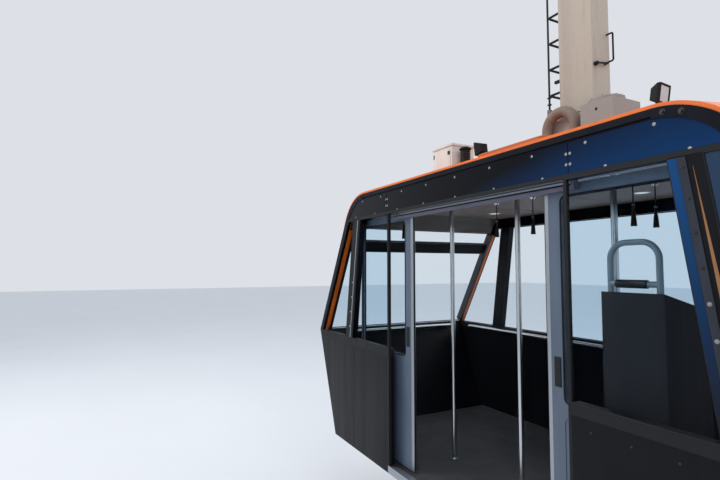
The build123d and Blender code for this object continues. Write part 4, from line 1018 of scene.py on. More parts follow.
class CABIN_OT_glazing(CabinStep):
    """Set gaskets, tinted borders and the bolted strips on the windows"""
    bl_idname = "cabin.glazing"
    bl_label = "Glazing"

    def pane_loops(self):
        """Corner loops of the side panes, as (x, z) pairs for one end, with the side they are on."""
        low, top = WAIST, HEADER
        doors_side, far_side = -1, 1
        for side, mullion in ((doors_side, 0.018), (far_side, 0.040)):
            inner = JAMB + mullion
            yield side, [(inner, low), (post_x(low), low), (post_x(top), top), (inner, top)]
            yield side, [
                (post_x(low, POST_WIDTH), low),
                (slope_x(low, RIM_WIDTH), low),
                (slope_x(top, RIM_WIDTH), top),
                (post_x(top, POST_WIDTH), top),
            ]

    def execute(self, context):
        bead = self.sizes.gasket
        loops = []
        for side, corners in self.pane_loops():
            for end in (-1, 1):
                loops.append([(end * x, side * GLASS_OUT, z) for x, z in corners])
        middle_pane = [(-JAMB, WAIST), (JAMB, WAIST), (JAMB, HEADER), (-JAMB, HEADER)]
        loops.append([(x, GLASS_OUT, z) for x, z in middle_pane])
        beads("window_gaskets", loops, "cabin", "seal_black", Radius=bead, Sides=8)
        self.end_gaskets(bead)
        self.strips()
        return {"FINISHED"}

    def end_gaskets(self, bead):
        """A gasket round the panes above and below the transom of each leaning end window."""
        edge, sunk, side_edge = 0.006, 0.006, 0.004
        low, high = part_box("end_glass")
        transom_foot, transom_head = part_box("end_transoms")
        loops = []
        for end in (-1, 1):
            for bottom, top in ((low.z + edge, transom_foot.z), (transom_head.z, high.z - edge)):
                corners = [(-1, bottom), (1, bottom), (1, top), (-1, top)]
                y = high.y - side_edge
                loops.append([(end * slope_x(z, sunk), side * y, z) for side, z in corners])
        beads("end_gaskets", loops, "cabin", "seal_black", Radius=bead, Sides=8)

    def band(self, work, side, end, start, width, raised, high=HEADER - 0.002, taper=0.0):
        """A band along a leaning post, at a distance out from the window's edge."""
        low = WAIST + 0.006
        corners = [
            (post_x(low, start), low),
            (post_x(low, start + width), low),
            (post_x(high, start + width - taper), high),
            (post_x(high, start), high),
        ]
        points = [(end * x, side * SIDE, z) for x, z in corners]
        if end * side > 0:
            points.reverse()
        add_slab(work, points, raised)

    def strips(self):
        """Glass edge, bolted strip and a tapered tan band, a painted reflection of a railing, along each
        leaning post.
        """
        border, width = self.sizes.border, self.sizes.strip
        strip_start, strip_raised = border + 0.002, 0.004
        # The tapered tan band paints a railing's reflection on the posts of the attendant's end
        reflection_band_start, reflection_band_width, reflection_band_taper, reflection_band_top = 0.094, 0.034, 0.033, HEADER - 0.045
        bolt_heights = (0.11, 0.25, 0.39, 0.53, 0.67, 0.81, 0.95, 1.08)
        bright_below = 0.6
        glass, strip, trim, line = bmesh.new(), bmesh.new(), bmesh.new(), bmesh.new()
        bright, dark = [], []
        for side in (-1, 1):
            self.band(line, side, -1, start=border, width=0.010, raised=0.002)
            self.band(glass, side, 1, start=0.0, width=border, raised=0.0012)
            self.band(strip, side, 1, start=strip_start, width=width, raised=strip_raised)
            self.band(trim, side, 1, reflection_band_start, reflection_band_width, raised=0.001, high=reflection_band_top, taper=reflection_band_taper)
            for end in (-1, 1):
                for height in bolt_heights:
                    z = WAIST + height
                    x = end * post_x(z, strip_start + width / 2)
                    holder = bright if height < bright_below else dark
                    holder.append(((x, side * (SIDE + strip_raised), z), (0, side, 0)))
        from_bmesh("post_glass_edges", glass, "window_border", "cabin")
        from_bmesh("post_strips", strip, "strip_grey", "cabin")
        from_bmesh("post_painted_reflections", trim, "tan_trim", "cabin")
        from_bmesh("post_lines", line, "edge_line", "cabin")
        for name, places, finish in (("post_bolts", bright, "bolt_steel"), ("post_studs", dark, "dark_bolt")):
            fixings(name, places, "cabin", finish, Sides=16, Head_radius=0.0062,
                    Head_height=0.004, Crown=0.6, Washer_radius=0.009, Washer_height=0.0016)


class CABIN_OT_cladding(CabinStep):
    """Fix the frieze, the rims, the lower panels and the threshold"""
    bl_idname = "cabin.cladding"
    bl_label = "Cladding"

    def execute(self, context):
        self.frieze_screws()
        self.rim_bolts()
        self.frieze_trim()
        self.panel_trim()
        self.foot_fittings()
        return {"FINISHED"}

    def frieze_screws(self):
        """Two rows of screws along the frieze, and four at each of its joints."""
        pitch = self.sizes.screw_pitch
        face_y = SIDE - 0.004
        top_row, foot_row = (FRIEZE_TOP - 0.022, 1.36), (HEADER + 0.028, 1.50)
        joint_x, beside_joint = 0.917, 0.012
        screws = []
        for side in (-1, 1):
            for z, reach in (top_row, foot_row):
                count = 2 * int(reach / pitch) + 1
                for point in spread((-reach, side * face_y, z), (reach, side * face_y, z), count):
                    screws.append((point, (0, side, 0)))
            for joint in (-joint_x, joint_x):
                for shift in (-beside_joint, beside_joint):
                    for z in (HEADER + 0.075, HEADER + 0.13):
                        screws.append(((joint + shift, side * face_y, z), (0, side, 0)))
        fixings("frieze_screws", screws, "cabin", "bolt_steel", Sides=14, Head_radius=0.0058,
                Head_height=0.003, Crown=0.55, Washer_radius=0.008, Washer_height=0.001)

    def rim_bolts(self):
        """Bolts down the sloping rims and round their corners at the roof."""
        bolt_heights = (0.12, 0.37, 0.62, 0.87, 1.08)
        corner_turns = (math.radians(7.3), math.radians(18.6))
        corner_reach = CORNER_RADIUS - 0.025
        bolts = []
        for side in (-1, 1):
            for end in (-1, 1):
                for height in bolt_heights:
                    z = WAIST + height
                    bolts.append(((end * slope_x(z, RIM_WIDTH / 2), side * SIDE, z), (0, side, 0)))
                for turn in corner_turns:
                    x = CORNER_X + corner_reach * math.sin(turn)
                    z = ROOF_EDGE - CORNER_RADIUS + corner_reach * math.cos(turn)
                    bolts.append(((end * x, side * SIDE, z), (0, side, 0)))
        fixings("rim_bolts", bolts, "cabin", "dark_bolt", Sides=6, Head_radius=0.008,
                Head_height=0.005, Crown=0.9, Washer_radius=0.013, Washer_height=0.002)

    def frieze_trim(self):
        """Black trim along the foot of the frieze, and the bright and dark strips of the door header."""
        foot = bmesh.new()
        low_z, high_z = HEADER + 0.001, HEADER + 0.026
        reach = slope_x(HEADER + 0.024, RIM_WIDTH) - 0.002
        for side in (-1, 1):
            near, far = sorted((side * (SIDE + 0.0005), side * (SIDE - 0.005)))
            add_block(foot, (-reach, near, low_z), (reach, far, high_z), bevel=0.002)
        from_bmesh("frieze_foot_trim", foot, "seal_black", "cabin")
        low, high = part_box("door_header")
        start, stop = low.x + 0.02, high.x - 0.02
        bright, dark = bmesh.new(), bmesh.new()
        add_block(bright, (start, low.y - 0.005, HEADER - 0.013), (stop, low.y, HEADER - 0.002), bevel=0.001)
        add_block(dark, (start, low.y - 0.003, HEADER - 0.023), (stop, low.y, HEADER - 0.0135), bevel=0.0005)
        from_bmesh("header_bright_strip", bright, "aluminium", "cabin")
        from_bmesh("header_dark_strip", dark, "seal_black", "cabin")

    def panel_trim(self):
        """Seam strips and rivets on the lower panels."""
        rivet_pitch, end_margin = 0.16, 0.08
        seam_x, seam_half_width = 1.55, 0.02
        seam_low, seam_high = FOOT + 0.02, WAIST - 0.075
        doorway, no_doorway = 0.96, 0.0
        widening = PANEL_FOOT_INSET / PANEL_HEIGHT
        seams = bmesh.new()
        rivets = []
        for side, inner in ((-1, doorway), (1, no_doorway)):
            for z in (FOOT + 0.05, WAIST - 0.12):
                reach = HALF_LENGTH - PANEL_FOOT_INSET + (z - FOOT) * widening - end_margin
                count = max(3, int((reach - inner) / rivet_pitch))
                for end in (-1, 1):
                    first, last = end * (inner + 0.05), end * reach
                    for point in spread((first, side * SIDE, z), (last, side * SIDE, z), count):
                        rivets.append((point, (0, side, 0)))
            for x in (-seam_x, seam_x):
                low = (x - seam_half_width, side * SIDE - 0.001, seam_low)
                high = (x + seam_half_width, side * SIDE + 0.003, seam_high)
                add_block(seams, low, high, bevel=0.001)
        from_bmesh("panel_seams", seams, "body_black", "cabin")
        fixings("panel_rivets", rivets, "cabin", "dark_bolt", Sides=12, Head_radius=0.005,
                Head_height=0.0025, Crown=0.5, Washer_radius=0.0056, Washer_height=0.0006)

    def foot_fittings(self):
        """Ribs on the threshold and bolts below the underframe channels."""
        rib_half_width, rib_margin = 0.002, 0.02
        low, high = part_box("door_threshold")
        ribs = bmesh.new()
        for share in (0.25, 0.5, 0.75):
            y = low.y + (high.y - low.y) * share
            foot = (low.x + rib_margin, y - rib_half_width, high.z - 0.0005)
            head = (high.x - rib_margin, y + rib_half_width, high.z + 0.002)
            add_block(ribs, foot, head, bevel=0.0006)
        from_bmesh("threshold_ribs", ribs, "aluminium", "cabin")
        low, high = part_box("underframe")
        channel_y, end_margin, bolts_per_channel = high.y - 0.030, 0.10, 14
        bolts = []
        for y in (-channel_y, channel_y):
            first, last = (low.x + end_margin, y, low.z), (high.x - end_margin, y, low.z)
            bolts.extend((point, (0, 0, -1)) for point in spread(first, last, bolts_per_channel))
        fixings("underframe_bolts", bolts, "cabin", "bolt_steel", Sides=6, Head_radius=0.010,
                Head_height=0.008, Crown=0.92, Washer_radius=0.014, Washer_height=0.002)


class CABIN_OT_roof_gear(CabinStep):
    """Fit out the pedestal, the lamps and the box, and set the fan and the hatch"""
    bl_idname = "cabin.roof_gear"
    bl_label = "Roof gear"

    def execute(self, context):
        self.pedestal()
        self.lamps()
        self.box()
        self.fan()
        self.hatch()
        return {"FINISHED"}

    def pedestal(self):
        """Domed cap, seal and bolts on the pedestal's round lid."""
        cap_radius, crown_radius, seal_radius, bolt_circle = 0.112, 0.088, 0.1225, 0.1165
        bolt_count = 8
        low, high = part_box("roof_pedestal")
        centre = Vector(((low.x + high.x) / 2, low.y + 0.121, high.z))
        up = Vector((0, 0, 1))
        cap = bmesh.new()
        foot, crown = centre - up * 0.0005, centre + up * 0.012
        add_rod(cap, foot, crown, cap_radius, sides=48, end_radius=crown_radius, bevel=0.003)
        add_rod(cap, centre - up * 0.010, centre - up * 0.004, seal_radius, sides=48)
        from_bmesh("pedestal_cap", cap, "gear_grey", "cabin")
        bolts = [(centre + Vector((x, y, 0)), up) for x, y in circle(bolt_circle, bolt_count, turned=0.5)]
        fixings("pedestal_bolts", bolts, "cabin", "dark_bolt", Sides=6, Head_radius=0.0045,
                Head_height=0.004, Crown=0.9, Washer_radius=0.0052, Washer_height=0.001)

    def lamps(self):
        """Glass, bezel, cooling ribs and a foot pad on each floodlight."""
        lamp_places = [
            # x, y, height of the stand, heading
            (1.165, -0.600, 0.056, 5.0),
            (-0.140, -0.600, 0.073, 175.0),
        ]
        tilt = math.radians(8.0)
        size = 0.100
        front, back = size * 0.25, -size * 0.215
        edge, lip, bezel_depth = size * 0.50, size * 0.42, 0.008
        glass_half, glass_depth = size * 0.40, 0.004
        rib_count, rib_gap, rib_half_width, rib_half_height = 5, size * 0.14, size * 0.27, 0.0016
        rib_front = size * 0.0875
        pad = 0.03
        glass, trim = bmesh.new(), bmesh.new()
        for x, y, stand, heading in lamp_places:
            turn = Matrix.Rotation(math.radians(heading), 4, "Z") @ Matrix.Rotation(tilt, 4, "Y")
            place = Matrix.Translation((x, y, ROOF_TOP + stand + size / 2)) @ turn
            before = len(glass.verts)
            glass_low = (front, -glass_half, -glass_half)
            glass_high = (front + glass_depth, glass_half, glass_half)
            add_block(glass, glass_low, glass_high, bevel=0.001)
            glass.verts.ensure_lookup_table()
            bmesh.ops.transform(glass, matrix=place, verts=glass.verts[before:])
            before = len(trim.verts)
            for low_y, low_z, high_y, high_z in (
                (-edge, lip, edge, edge),
                (-edge, -edge, edge, -lip),
                (-edge, -lip, -lip, lip),
                (lip, -lip, edge, lip),
            ):
                add_block(trim, (front, low_y, low_z), (front + bezel_depth, high_y, high_z), bevel=0.0015)
            for rib in range(rib_count):
                z = (rib - (rib_count - 1) / 2) * rib_gap
                low = (back, -rib_half_width, z - rib_half_height)
                high = (rib_front, rib_half_width, z + rib_half_height)
                add_block(trim, low, high, bevel=0.0004)
            trim.verts.ensure_lookup_table()
            bmesh.ops.transform(trim, matrix=place, verts=trim.verts[before:])
            pad_corners = (x - pad, y - pad, ROOF_TOP - 0.022), (x + pad, y + pad, ROOF_TOP + 0.004)
            add_block(trim, *pad_corners, bevel=0.002)
        from_bmesh("lamp_glasses", glass, "lamp_glass", "cabin")
        from_bmesh("lamp_trim", trim, "steel_black", "cabin")

    def box(self):
        """Door, latches and hinges of the equipment box."""
        x = (BOX_LOW.x + BOX_HIGH.x) / 2
        front = BOX_LOW.y + 0.010
        door_half = 0.115
        door_low, door_high = ROOF_TOP + 0.03, BOX_HIGH.z - 0.038
        door = bmesh.new()
        corners = (x - door_half, front - 0.004, door_low), (x + door_half, front, door_high)
        add_block(door, *corners, bevel=0.0015)
        from_bmesh("box_door", door, "box_white", "cabin")
        latch_half, hinge_half = 0.016, 0.020
        metal = bmesh.new()
        for z in (ROOF_TOP + 0.085, ROOF_TOP + 0.235):
            latch = (x + 0.085, front - 0.010, z - latch_half), (x + 0.112, front - 0.003, z + latch_half)
            hinge = (x - 0.123, front - 0.008, z - hinge_half), (x - 0.111, front - 0.001, z + hinge_half)
            add_block(metal, *latch, bevel=0.002)
            add_block(metal, *hinge, bevel=0.002)
        from_bmesh("box_latches", metal, "dark_bolt", "cabin")

    def fan(self):
        """A capped roof fan beside the box: foot, drum with grille rings, and cap."""
        x, y = FAN_PLACE
        roof = roof_height(y)
        foot_top = roof + 0.018
        drum_top = ROOF_TOP + 0.245
        drum_radius = 0.040
        sides = 48
        parts = [
            # bottom, top, radius below, radius above, bevel
            (roof - 0.012, foot_top, 0.058, 0.052, 0.003),
            (foot_top, drum_top, drum_radius, drum_radius, 0.002),
            (drum_top, drum_top + 0.014, 0.052, 0.050, 0.003),
            (drum_top + 0.014, drum_top + 0.028, 0.050, 0.024, 0.003),
        ]
        drum = bmesh.new()
        for bottom, top, radius, top_radius, bevel in parts:
            add_rod(drum, (x, y, bottom), (x, y, top), radius, sides, top_radius, bevel)
        from_bmesh("roof_fan", drum, "steel_black", "cabin")
        ring_count, ring_pitch, ring_points = 8, 0.014, 32
        top_ring = drum_top - 0.016
        outline = circle(drum_radius + 0.0015, ring_points)
        levels = [top_ring - level * ring_pitch for level in range(ring_count)]
        rings = [[(x + px, y + py, z) for px, py in outline] for z in levels]
        beads("fan_rings", rings, "cabin", "dark_bolt", Radius=0.003, Sides=6)

    def hatch(self):
        """A low roof hatch with round corners, on a seal, with hinges and screws."""
        x, y = HATCH_PLACE
        half_x, half_y, corner, edge = 0.310, 0.190, 0.060, 0.012
        edge_steps = 4
        seal_inset = 0.006
        top = ROOF_TOP + 0.019
        lid = bmesh.new()
        outline = round_corners(x, y, half_x, half_y, corner)
        rings = [[(px, py, roof_height(py) + 0.008) for px, py in outline]]
        for step in range(edge_steps + 1):
            angle = math.radians(90 * step / edge_steps)
            inset, drop = edge * (1 - math.cos(angle)), edge * (1 - math.sin(angle))
            shrunk = round_corners(x, y, half_x - inset, half_y - inset, corner - inset)
            rings.append([(px, py, top - drop) for px, py in shrunk])
        add_rings(lid, rings)
        # The lid's darkened orange is painted shade
        from_bmesh("roof_hatch", lid, "hatch_orange", "cabin")
        seal = bmesh.new()
        inner = round_corners(x, y, half_x - seal_inset, half_y - seal_inset, corner - seal_inset)
        add_rings(seal, [[(px, py, roof_height(py) + lift) for px, py in inner] for lift in (-0.006, 0.009)])
        from_bmesh("hatch_seal", seal, "seal_black", "cabin")
        self.hatch_hinges(x, half_x, y + half_y, top)
        self.hatch_screws(x, y, half_x, half_y, top)

    def hatch_hinges(self, x, half_x, back, top):
        """Two hinges behind the lid: a barrel, a leaf on the lid and a leaf down to the roof."""
        from_corner, barrel_half, leaf_half = 0.12, 0.035, 0.03
        barrel_y, barrel_z = back + 0.007, top - 0.014
        metal = bmesh.new()
        for hinge in (x - half_x + from_corner, x + half_x - from_corner):
            barrel = (hinge - barrel_half, barrel_y, barrel_z), (hinge + barrel_half, barrel_y, barrel_z)
            add_rod(metal, *barrel, radius=0.008, sides=20)
            first, last = hinge - leaf_half, hinge + leaf_half
            lid_leaf = (first, back - 0.055, top - 0.001), (last, back - 0.012, top + 0.003)
            roof_leaf = (first, back + 0.001, roof_height(back) - 0.004), (last, back + 0.006, barrel_z)
            add_block(metal, *lid_leaf, bevel=0.001)
            add_block(metal, *roof_leaf)
        from_bmesh("hatch_hinges", metal, "dark_bolt", "cabin")

    def hatch_screws(self, x, y, half_x, half_y, top):
        """Two rows of screws along the lid."""
        from_corner, from_edge, per_row = 0.07, 0.024, 6
        screws = []
        for point in spread((x - half_x + from_corner, 0, top), (x + half_x - from_corner, 0, top), per_row):
            for row_y in (y - half_y + from_edge, y + half_y - from_edge):
                screws.append(((point.x, row_y, top), (0, 0, 1)))
        fixings("hatch_screws", screws, "cabin", "bolt_steel", Sides=12, Head_radius=0.005,
                Head_height=0.0025, Crown=0.55, Washer_radius=0.007, Washer_height=0.001)


class CABIN_OT_hanger(CabinStep):
    """Bolt and weld the hanger column, its foot and its head"""
    bl_idname = "cabin.hanger"
    bl_label = "Hanger"

    def execute(self, context):
        column_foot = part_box("hanger_column")[0].z
        foot_low, foot_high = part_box("hanger_foot")
        middle_y = (foot_low.y + foot_high.y) / 2
        flange_top = column_foot + 0.025
        self.foot_bolts(middle_y, flange_top)
        self.welds(middle_y, flange_top)
        self.step_pads(middle_y, column_foot)
        self.brackets(middle_y)
        self.head_bolts(middle_y)
        return {"FINISHED"}

    def foot_bolts(self, middle_y, flange_top):
        """Bolts through the foot's flange, along both sides of the column."""
        from_column = 0.021
        bolts = []
        for side in (-1, 1):
            for x in (-0.12, -0.04, 0.04, 0.12):
                bolts.append(((x, middle_y + side * (COLUMN_HALF_Y + from_column), flange_top), (0, 0, 1)))
        radius = self.sizes.bolt_radius
        fixings("foot_bolts", bolts, "cabin", "dark_bolt", Sides=6, Head_radius=radius * 0.8,
                Head_height=0.012, Crown=0.92, Washer_radius=radius, Washer_height=0.003)

    def welds(self, middle_y, flange_top):
        """A weld round the column at its flange and at each joint of its plates."""
        low_y, high_y = middle_y - COLUMN_HALF_Y, middle_y + COLUMN_HALF_Y
        outline = [
            (-COLUMN_HALF_X, low_y),
            (COLUMN_HALF_X, low_y),
            (COLUMN_HALF_X, high_y),
            (-COLUMN_HALF_X, high_y),
        ]
        loops = [[(x, y, level) for x, y in outline] for level in (flange_top, -1.25, -0.45)]
        beads("column_welds", loops, "cabin", "hanger_grey", Radius=0.0035, Sides=8)

    def step_pads(self, middle_y, column_foot):
        """A small plate under each leg of the steps."""
        step_count, first_step, step_pitch = 12, 0.045, 0.230
        half, thickness, sunk = 0.022, 0.004, 0.0005
        pads = bmesh.new()
        for number in range(step_count):
            z = column_foot + first_step + number * step_pitch
            for side in (-1, 1):
                y = middle_y + side * (COLUMN_HALF_Y - 0.030)
                low = (-COLUMN_HALF_X - thickness, y - half, z - half)
                high = (-COLUMN_HALF_X + sunk, y + half, z + half)
                add_block(pads, low, high, bevel=0.001)
        from_bmesh("step_pads", pads, "hanger_grey", "cabin")

    def brackets(self, middle_y):
        """A bracket on the steps' side of the column, and two stubs with a bar on the other."""
        face_x, stub_x, bar_x = COLUMN_HALF_X - 0.0002, 0.185, 0.180
        near_y, far_y = middle_y - 0.075, middle_y + 0.045
        near_z, far_z = FLOOR + 3.225, FLOOR + 3.245
        edge_y = middle_y - COLUMN_HALF_Y
        stubs = bmesh.new()
        bracket = (-0.221, edge_y + 0.012, FLOOR + 3.188), (-face_x, edge_y + 0.036, FLOOR + 3.212)
        add_block(stubs, *bracket, bevel=0.002)
        for y, z, radius in ((near_y, near_z, 0.016), (far_y, far_z, 0.010)):
            add_rod(stubs, (face_x, y, z), (stub_x, y, z), radius, sides=20, bevel=0.002)
        bar_start, bar_end = (bar_x, near_y - 0.005, near_z), (bar_x, far_y + 0.010, far_z + 0.002)
        add_rod(stubs, bar_start, bar_end, radius=0.008, sides=20, bevel=0.002)
        from_bmesh("column_brackets", stubs, "steel_black", "cabin")

    def head_bolts(self, middle_y):
        """A ring of bolts round the hanger's pin, on the head's plate."""
        count, bolt_circle, pin_z = 12, 0.15, 0.4
        face_y = middle_y + COLUMN_HALF_Y
        bolts = [((x, face_y, pin_z + z), (0, 1, 0)) for x, z in circle(bolt_circle, count)]
        fixings("head_bolts", bolts, "cabin", "dark_bolt", Sides=6, Head_radius=0.010,
                Head_height=0.009, Crown=0.92, Washer_radius=0.0135, Washer_height=0.0025)


class CABIN_OT_doors(CabinStep):
    """Trim the sliding leaves with gaskets, edge seals and pulls"""
    bl_idname = "cabin.doors"
    bl_label = "Doors"

    def execute(self, context):
        for end, hand in ((-1, "left"), (1, "right")):
            low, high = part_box(f"door_{hand}_nosing")
            meeting_edge = high.x if end < 0 else low.x
            self.gasket(hand, low.y, high.y)
            self.seal(hand, end, meeting_edge, low, high)
            self.pull(hand, end, meeting_edge, low.y, high.y)
        return {"FINISHED"}

    def gasket(self, hand, low_y, high_y):
        """A gasket with round corners about the leaf's glass, on both faces."""
        radius, steps = 0.035, 4
        low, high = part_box(f"door_{hand}_glass")
        middle_x, middle_z = (low.x + high.x) / 2, (low.z + high.z) / 2
        half_x, half_z = (high.x - low.x) / 2, (high.z - low.z) / 2
        outline = round_corners(middle_x, middle_z, half_x, half_z, radius, steps)
        loops = [[(x, y, z) for x, z in outline] for y in (low_y, high_y)]
        beads(f"leaf_{hand}_gasket", loops, f"door_{hand}", "seal_black", Radius=0.005, Sides=8)

    def seal(self, hand, end, meeting_edge, low, high):
        """A rubber strip down the edge that meets the other leaf."""
        sunk, from_faces, from_ends = 0.004, 0.009, 0.004
        near, far = sorted((meeting_edge, meeting_edge - end * sunk))
        strip = bmesh.new()
        strip_low = (near, low.y + from_faces, low.z + from_ends)
        strip_high = (far, high.y - from_faces, high.z - from_ends)
        add_block(strip, strip_low, strip_high, bevel=0.0015)
        from_bmesh(f"leaf_{hand}_seal", strip, "seal_black", f"door_{hand}")

    def pull(self, hand, end, meeting_edge, low_y, high_y):
        """A flat pull plate on both faces of the leaf's frame."""
        half_width, depth = 0.022, 0.005
        low_z, high_z = FLOOR + 0.98, FLOOR + 1.14
        x = end * (abs(meeting_edge) + 0.072)
        grip = bmesh.new()
        for y in (low_y - 0.004, high_y - 0.001):
            add_block(grip, (x - half_width, y, low_z), (x + half_width, y + depth, high_z), bevel=0.002)
        from_bmesh(f"leaf_{hand}_pull", grip, "grip_black", f"door_{hand}")


class CABIN_OT_interior(CabinStep):
    """Fit out the inside: floor studs, ceiling lamps, console and grip roses"""
    bl_idname = "cabin.interior"
    bl_label = "Interior"

    def execute(self, context):
        self.floor_studs()
        self.ceiling_lights()
        self.console()
        self.grip_fittings()
        return {"FINISHED"}

    def floor_studs(self):
        """Low round studs all over the floor."""
        pitch, margin = self.sizes.stud_pitch, 0.05
        low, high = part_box("floor_deck")
        columns = int((high.x - low.x - 2 * margin) / pitch)
        rows = int((high.y - low.y - 2 * margin) / pitch)
        studs = []
        for column in range(columns):
            for row in range(rows):
                x = low.x + margin + (column + 0.5) * pitch
                y = low.y + margin + (row + 0.5) * pitch
                studs.append(((x, y, FLOOR), (0, 0, 1)))
        fixings("floor_studs", studs, "cabin", "floor_grey", Sides=8, Head_radius=0.011,
                Head_height=0.0012, Crown=0.8, Washer_sides=8, Washer_radius=0.0112, Washer_height=0.0004)

    def ceiling_lights(self):
        """Round lamps with a bezel, and the joints of the ceiling panel."""
        lens_radius, bezel_radius, sides = 0.045, 0.062, 32
        lens_foot, bezel_foot = CEILING - 0.004, CEILING - 0.003
        lens, bezel = bmesh.new(), bmesh.new()
        for x in (-1.15, -0.4, 0.4, 1.15):
            for y in (-0.55, 0.45):
                add_rod(lens, (x, y, lens_foot), (x, y, CEILING - 0.0002), lens_radius, sides)
                add_rod(bezel, (x, y, bezel_foot), (x, y, CEILING - 0.0001), bezel_radius, sides, bevel=0.001)
        from_bmesh("ceiling_lenses", lens, "light_lens", "cabin")
        from_bmesh("ceiling_bezels", bezel, "aluminium", "cabin")
        joints = [[(x, -0.78, CEILING), (x, 0.88, CEILING)] for x in (-0.8, 0.0, 0.8)]
        beads("ceiling_joints", joints, "cabin", "header_grey", closed=False, Radius=0.003, Sides=6)

    def console(self):
        """The attendant's console: desk plate and buttons, service door, and sleeve on the hoop."""
        desk_drop = 0.090
        low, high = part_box("console")
        slope = desk_drop / (high.y - low.y)
        self.desk(low, high, desk_drop, math.atan(slope))
        self.service_door(low, high)
        hoop_low, hoop_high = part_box("console_hoop")
        y = (hoop_low.y + hoop_high.y) / 2
        bar_z = high.z - 0.015 * slope + 0.0453
        start_x, end_x, radius = hoop_low.x + 0.045, hoop_high.x - 0.070, 0.021
        sleeve = bmesh.new()
        add_rod(sleeve, (start_x, y, bar_z), (end_x, y, bar_z), radius, sides=28, bevel=0.005)
        from_bmesh("console_sleeve", sleeve, "grip_black", "cabin")

    def desk(self, low, high, drop, tilt):
        """Plate and buttons on the sloping top of the console."""
        thickness, half_width, plate_start, plate_end = 0.004, 0.13, -0.07, 0.15
        rows, columns = 3, 5
        row_pitch, column_pitch = 0.055, 0.045
        first_row, first_column = -0.03, -0.09
        middle = Vector(((low.x + high.x) / 2, (low.y + high.y) / 2, high.z - drop / 2))
        normal = Vector((0, math.sin(tilt), math.cos(tilt)))
        down = Vector((0, math.cos(tilt), -math.sin(tilt)))
        across = Vector((1, 0, 0))
        plate = bmesh.new()
        corners = [
            (-half_width, plate_start),
            (half_width, plate_start),
            (half_width, plate_end),
            (-half_width, plate_end),
        ]
        add_slab(plate, [middle + across * a + down * b for a, b in corners], thickness, bevel=0.001)
        from_bmesh("console_plate", plate, "aluminium", "cabin")
        buttons = []
        for row in range(rows):
            for column in range(columns):
                aside = across * (first_column + column * column_pitch)
                below = down * (first_row + row * row_pitch)
                buttons.append((middle + normal * thickness + aside + below, normal))
        fixings("console_buttons", buttons, "cabin", "grip_black", Sides=16, Head_radius=0.009,
                Head_height=0.010, Crown=0.85, Washer_radius=0.013, Washer_height=0.003)

    def service_door(self, low, high):
        """Door on the console's face, with its lock, two hinges and a label plate."""
        face, margin = low.x, 0.025
        door_foot, door_head = low.z + 0.06, high.z - 0.16
        door = bmesh.new()
        corners = (face - 0.004, low.y + margin, door_foot), (face, high.y - margin, door_head)
        add_block(door, *corners, bevel=0.0015)
        from_bmesh("console_door", door, "console_dark", "cabin")
        lock_y, lock_z = high.y - 0.055, (low.z + high.z) / 2
        hinge_x, hinge_y, hinge_half = face - 0.007, low.y + 0.028, 0.03
        plate_y, plate_half = (low.y + high.y) / 2, 0.06
        plate_low, plate_high = low.z + 0.10, low.z + 0.16
        metal = bmesh.new()
        lock_ends = (face - 0.0125, lock_y, lock_z), (face - 0.0035, lock_y, lock_z)
        add_rod(metal, *lock_ends, radius=0.010, sides=24, end_radius=0.012, bevel=0.001)
        for z in (low.z + 0.14, high.z - 0.25):
            hinge = (hinge_x, hinge_y, z - hinge_half), (hinge_x, hinge_y, z + hinge_half)
            add_rod(metal, *hinge, radius=0.005, sides=16)
        label_low = (face - 0.0045, plate_y - plate_half, plate_low)
        label_high = (face - 0.0035, plate_y + plate_half, plate_high)
        add_block(metal, label_low, label_high, bevel=0.0004)
        from_bmesh("console_lock", metal, "dark_bolt", "cabin")

    def grip_fittings(self):
        """A ceiling rose and a collar on each hand grip."""
        places = [(-1.090, -0.690), (-0.530, -0.100), (-0.130, -0.100), (0.690, -0.100), (0.690, 0.134)]
        grip_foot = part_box("hand_grips")[0].z
        collar_low, collar_high = grip_foot + 0.132, grip_foot + 0.142
        rose_low, rose_high = CEILING - 0.016, CEILING - 0.0004
        rose_radius, rose_rim, collar_radius = 0.018, 0.026, 0.0105
        roses = bmesh.new()
        for x, y in places:
            add_rod(roses, (x, y, rose_low), (x, y, rose_high), rose_radius, 24, rose_rim, bevel=0.002)
            add_rod(roses, (x, y, collar_low), (x, y, collar_high), collar_radius, 20, bevel=0.001)
        from_bmesh("grip_roses", roses, "stainless", "cabin")


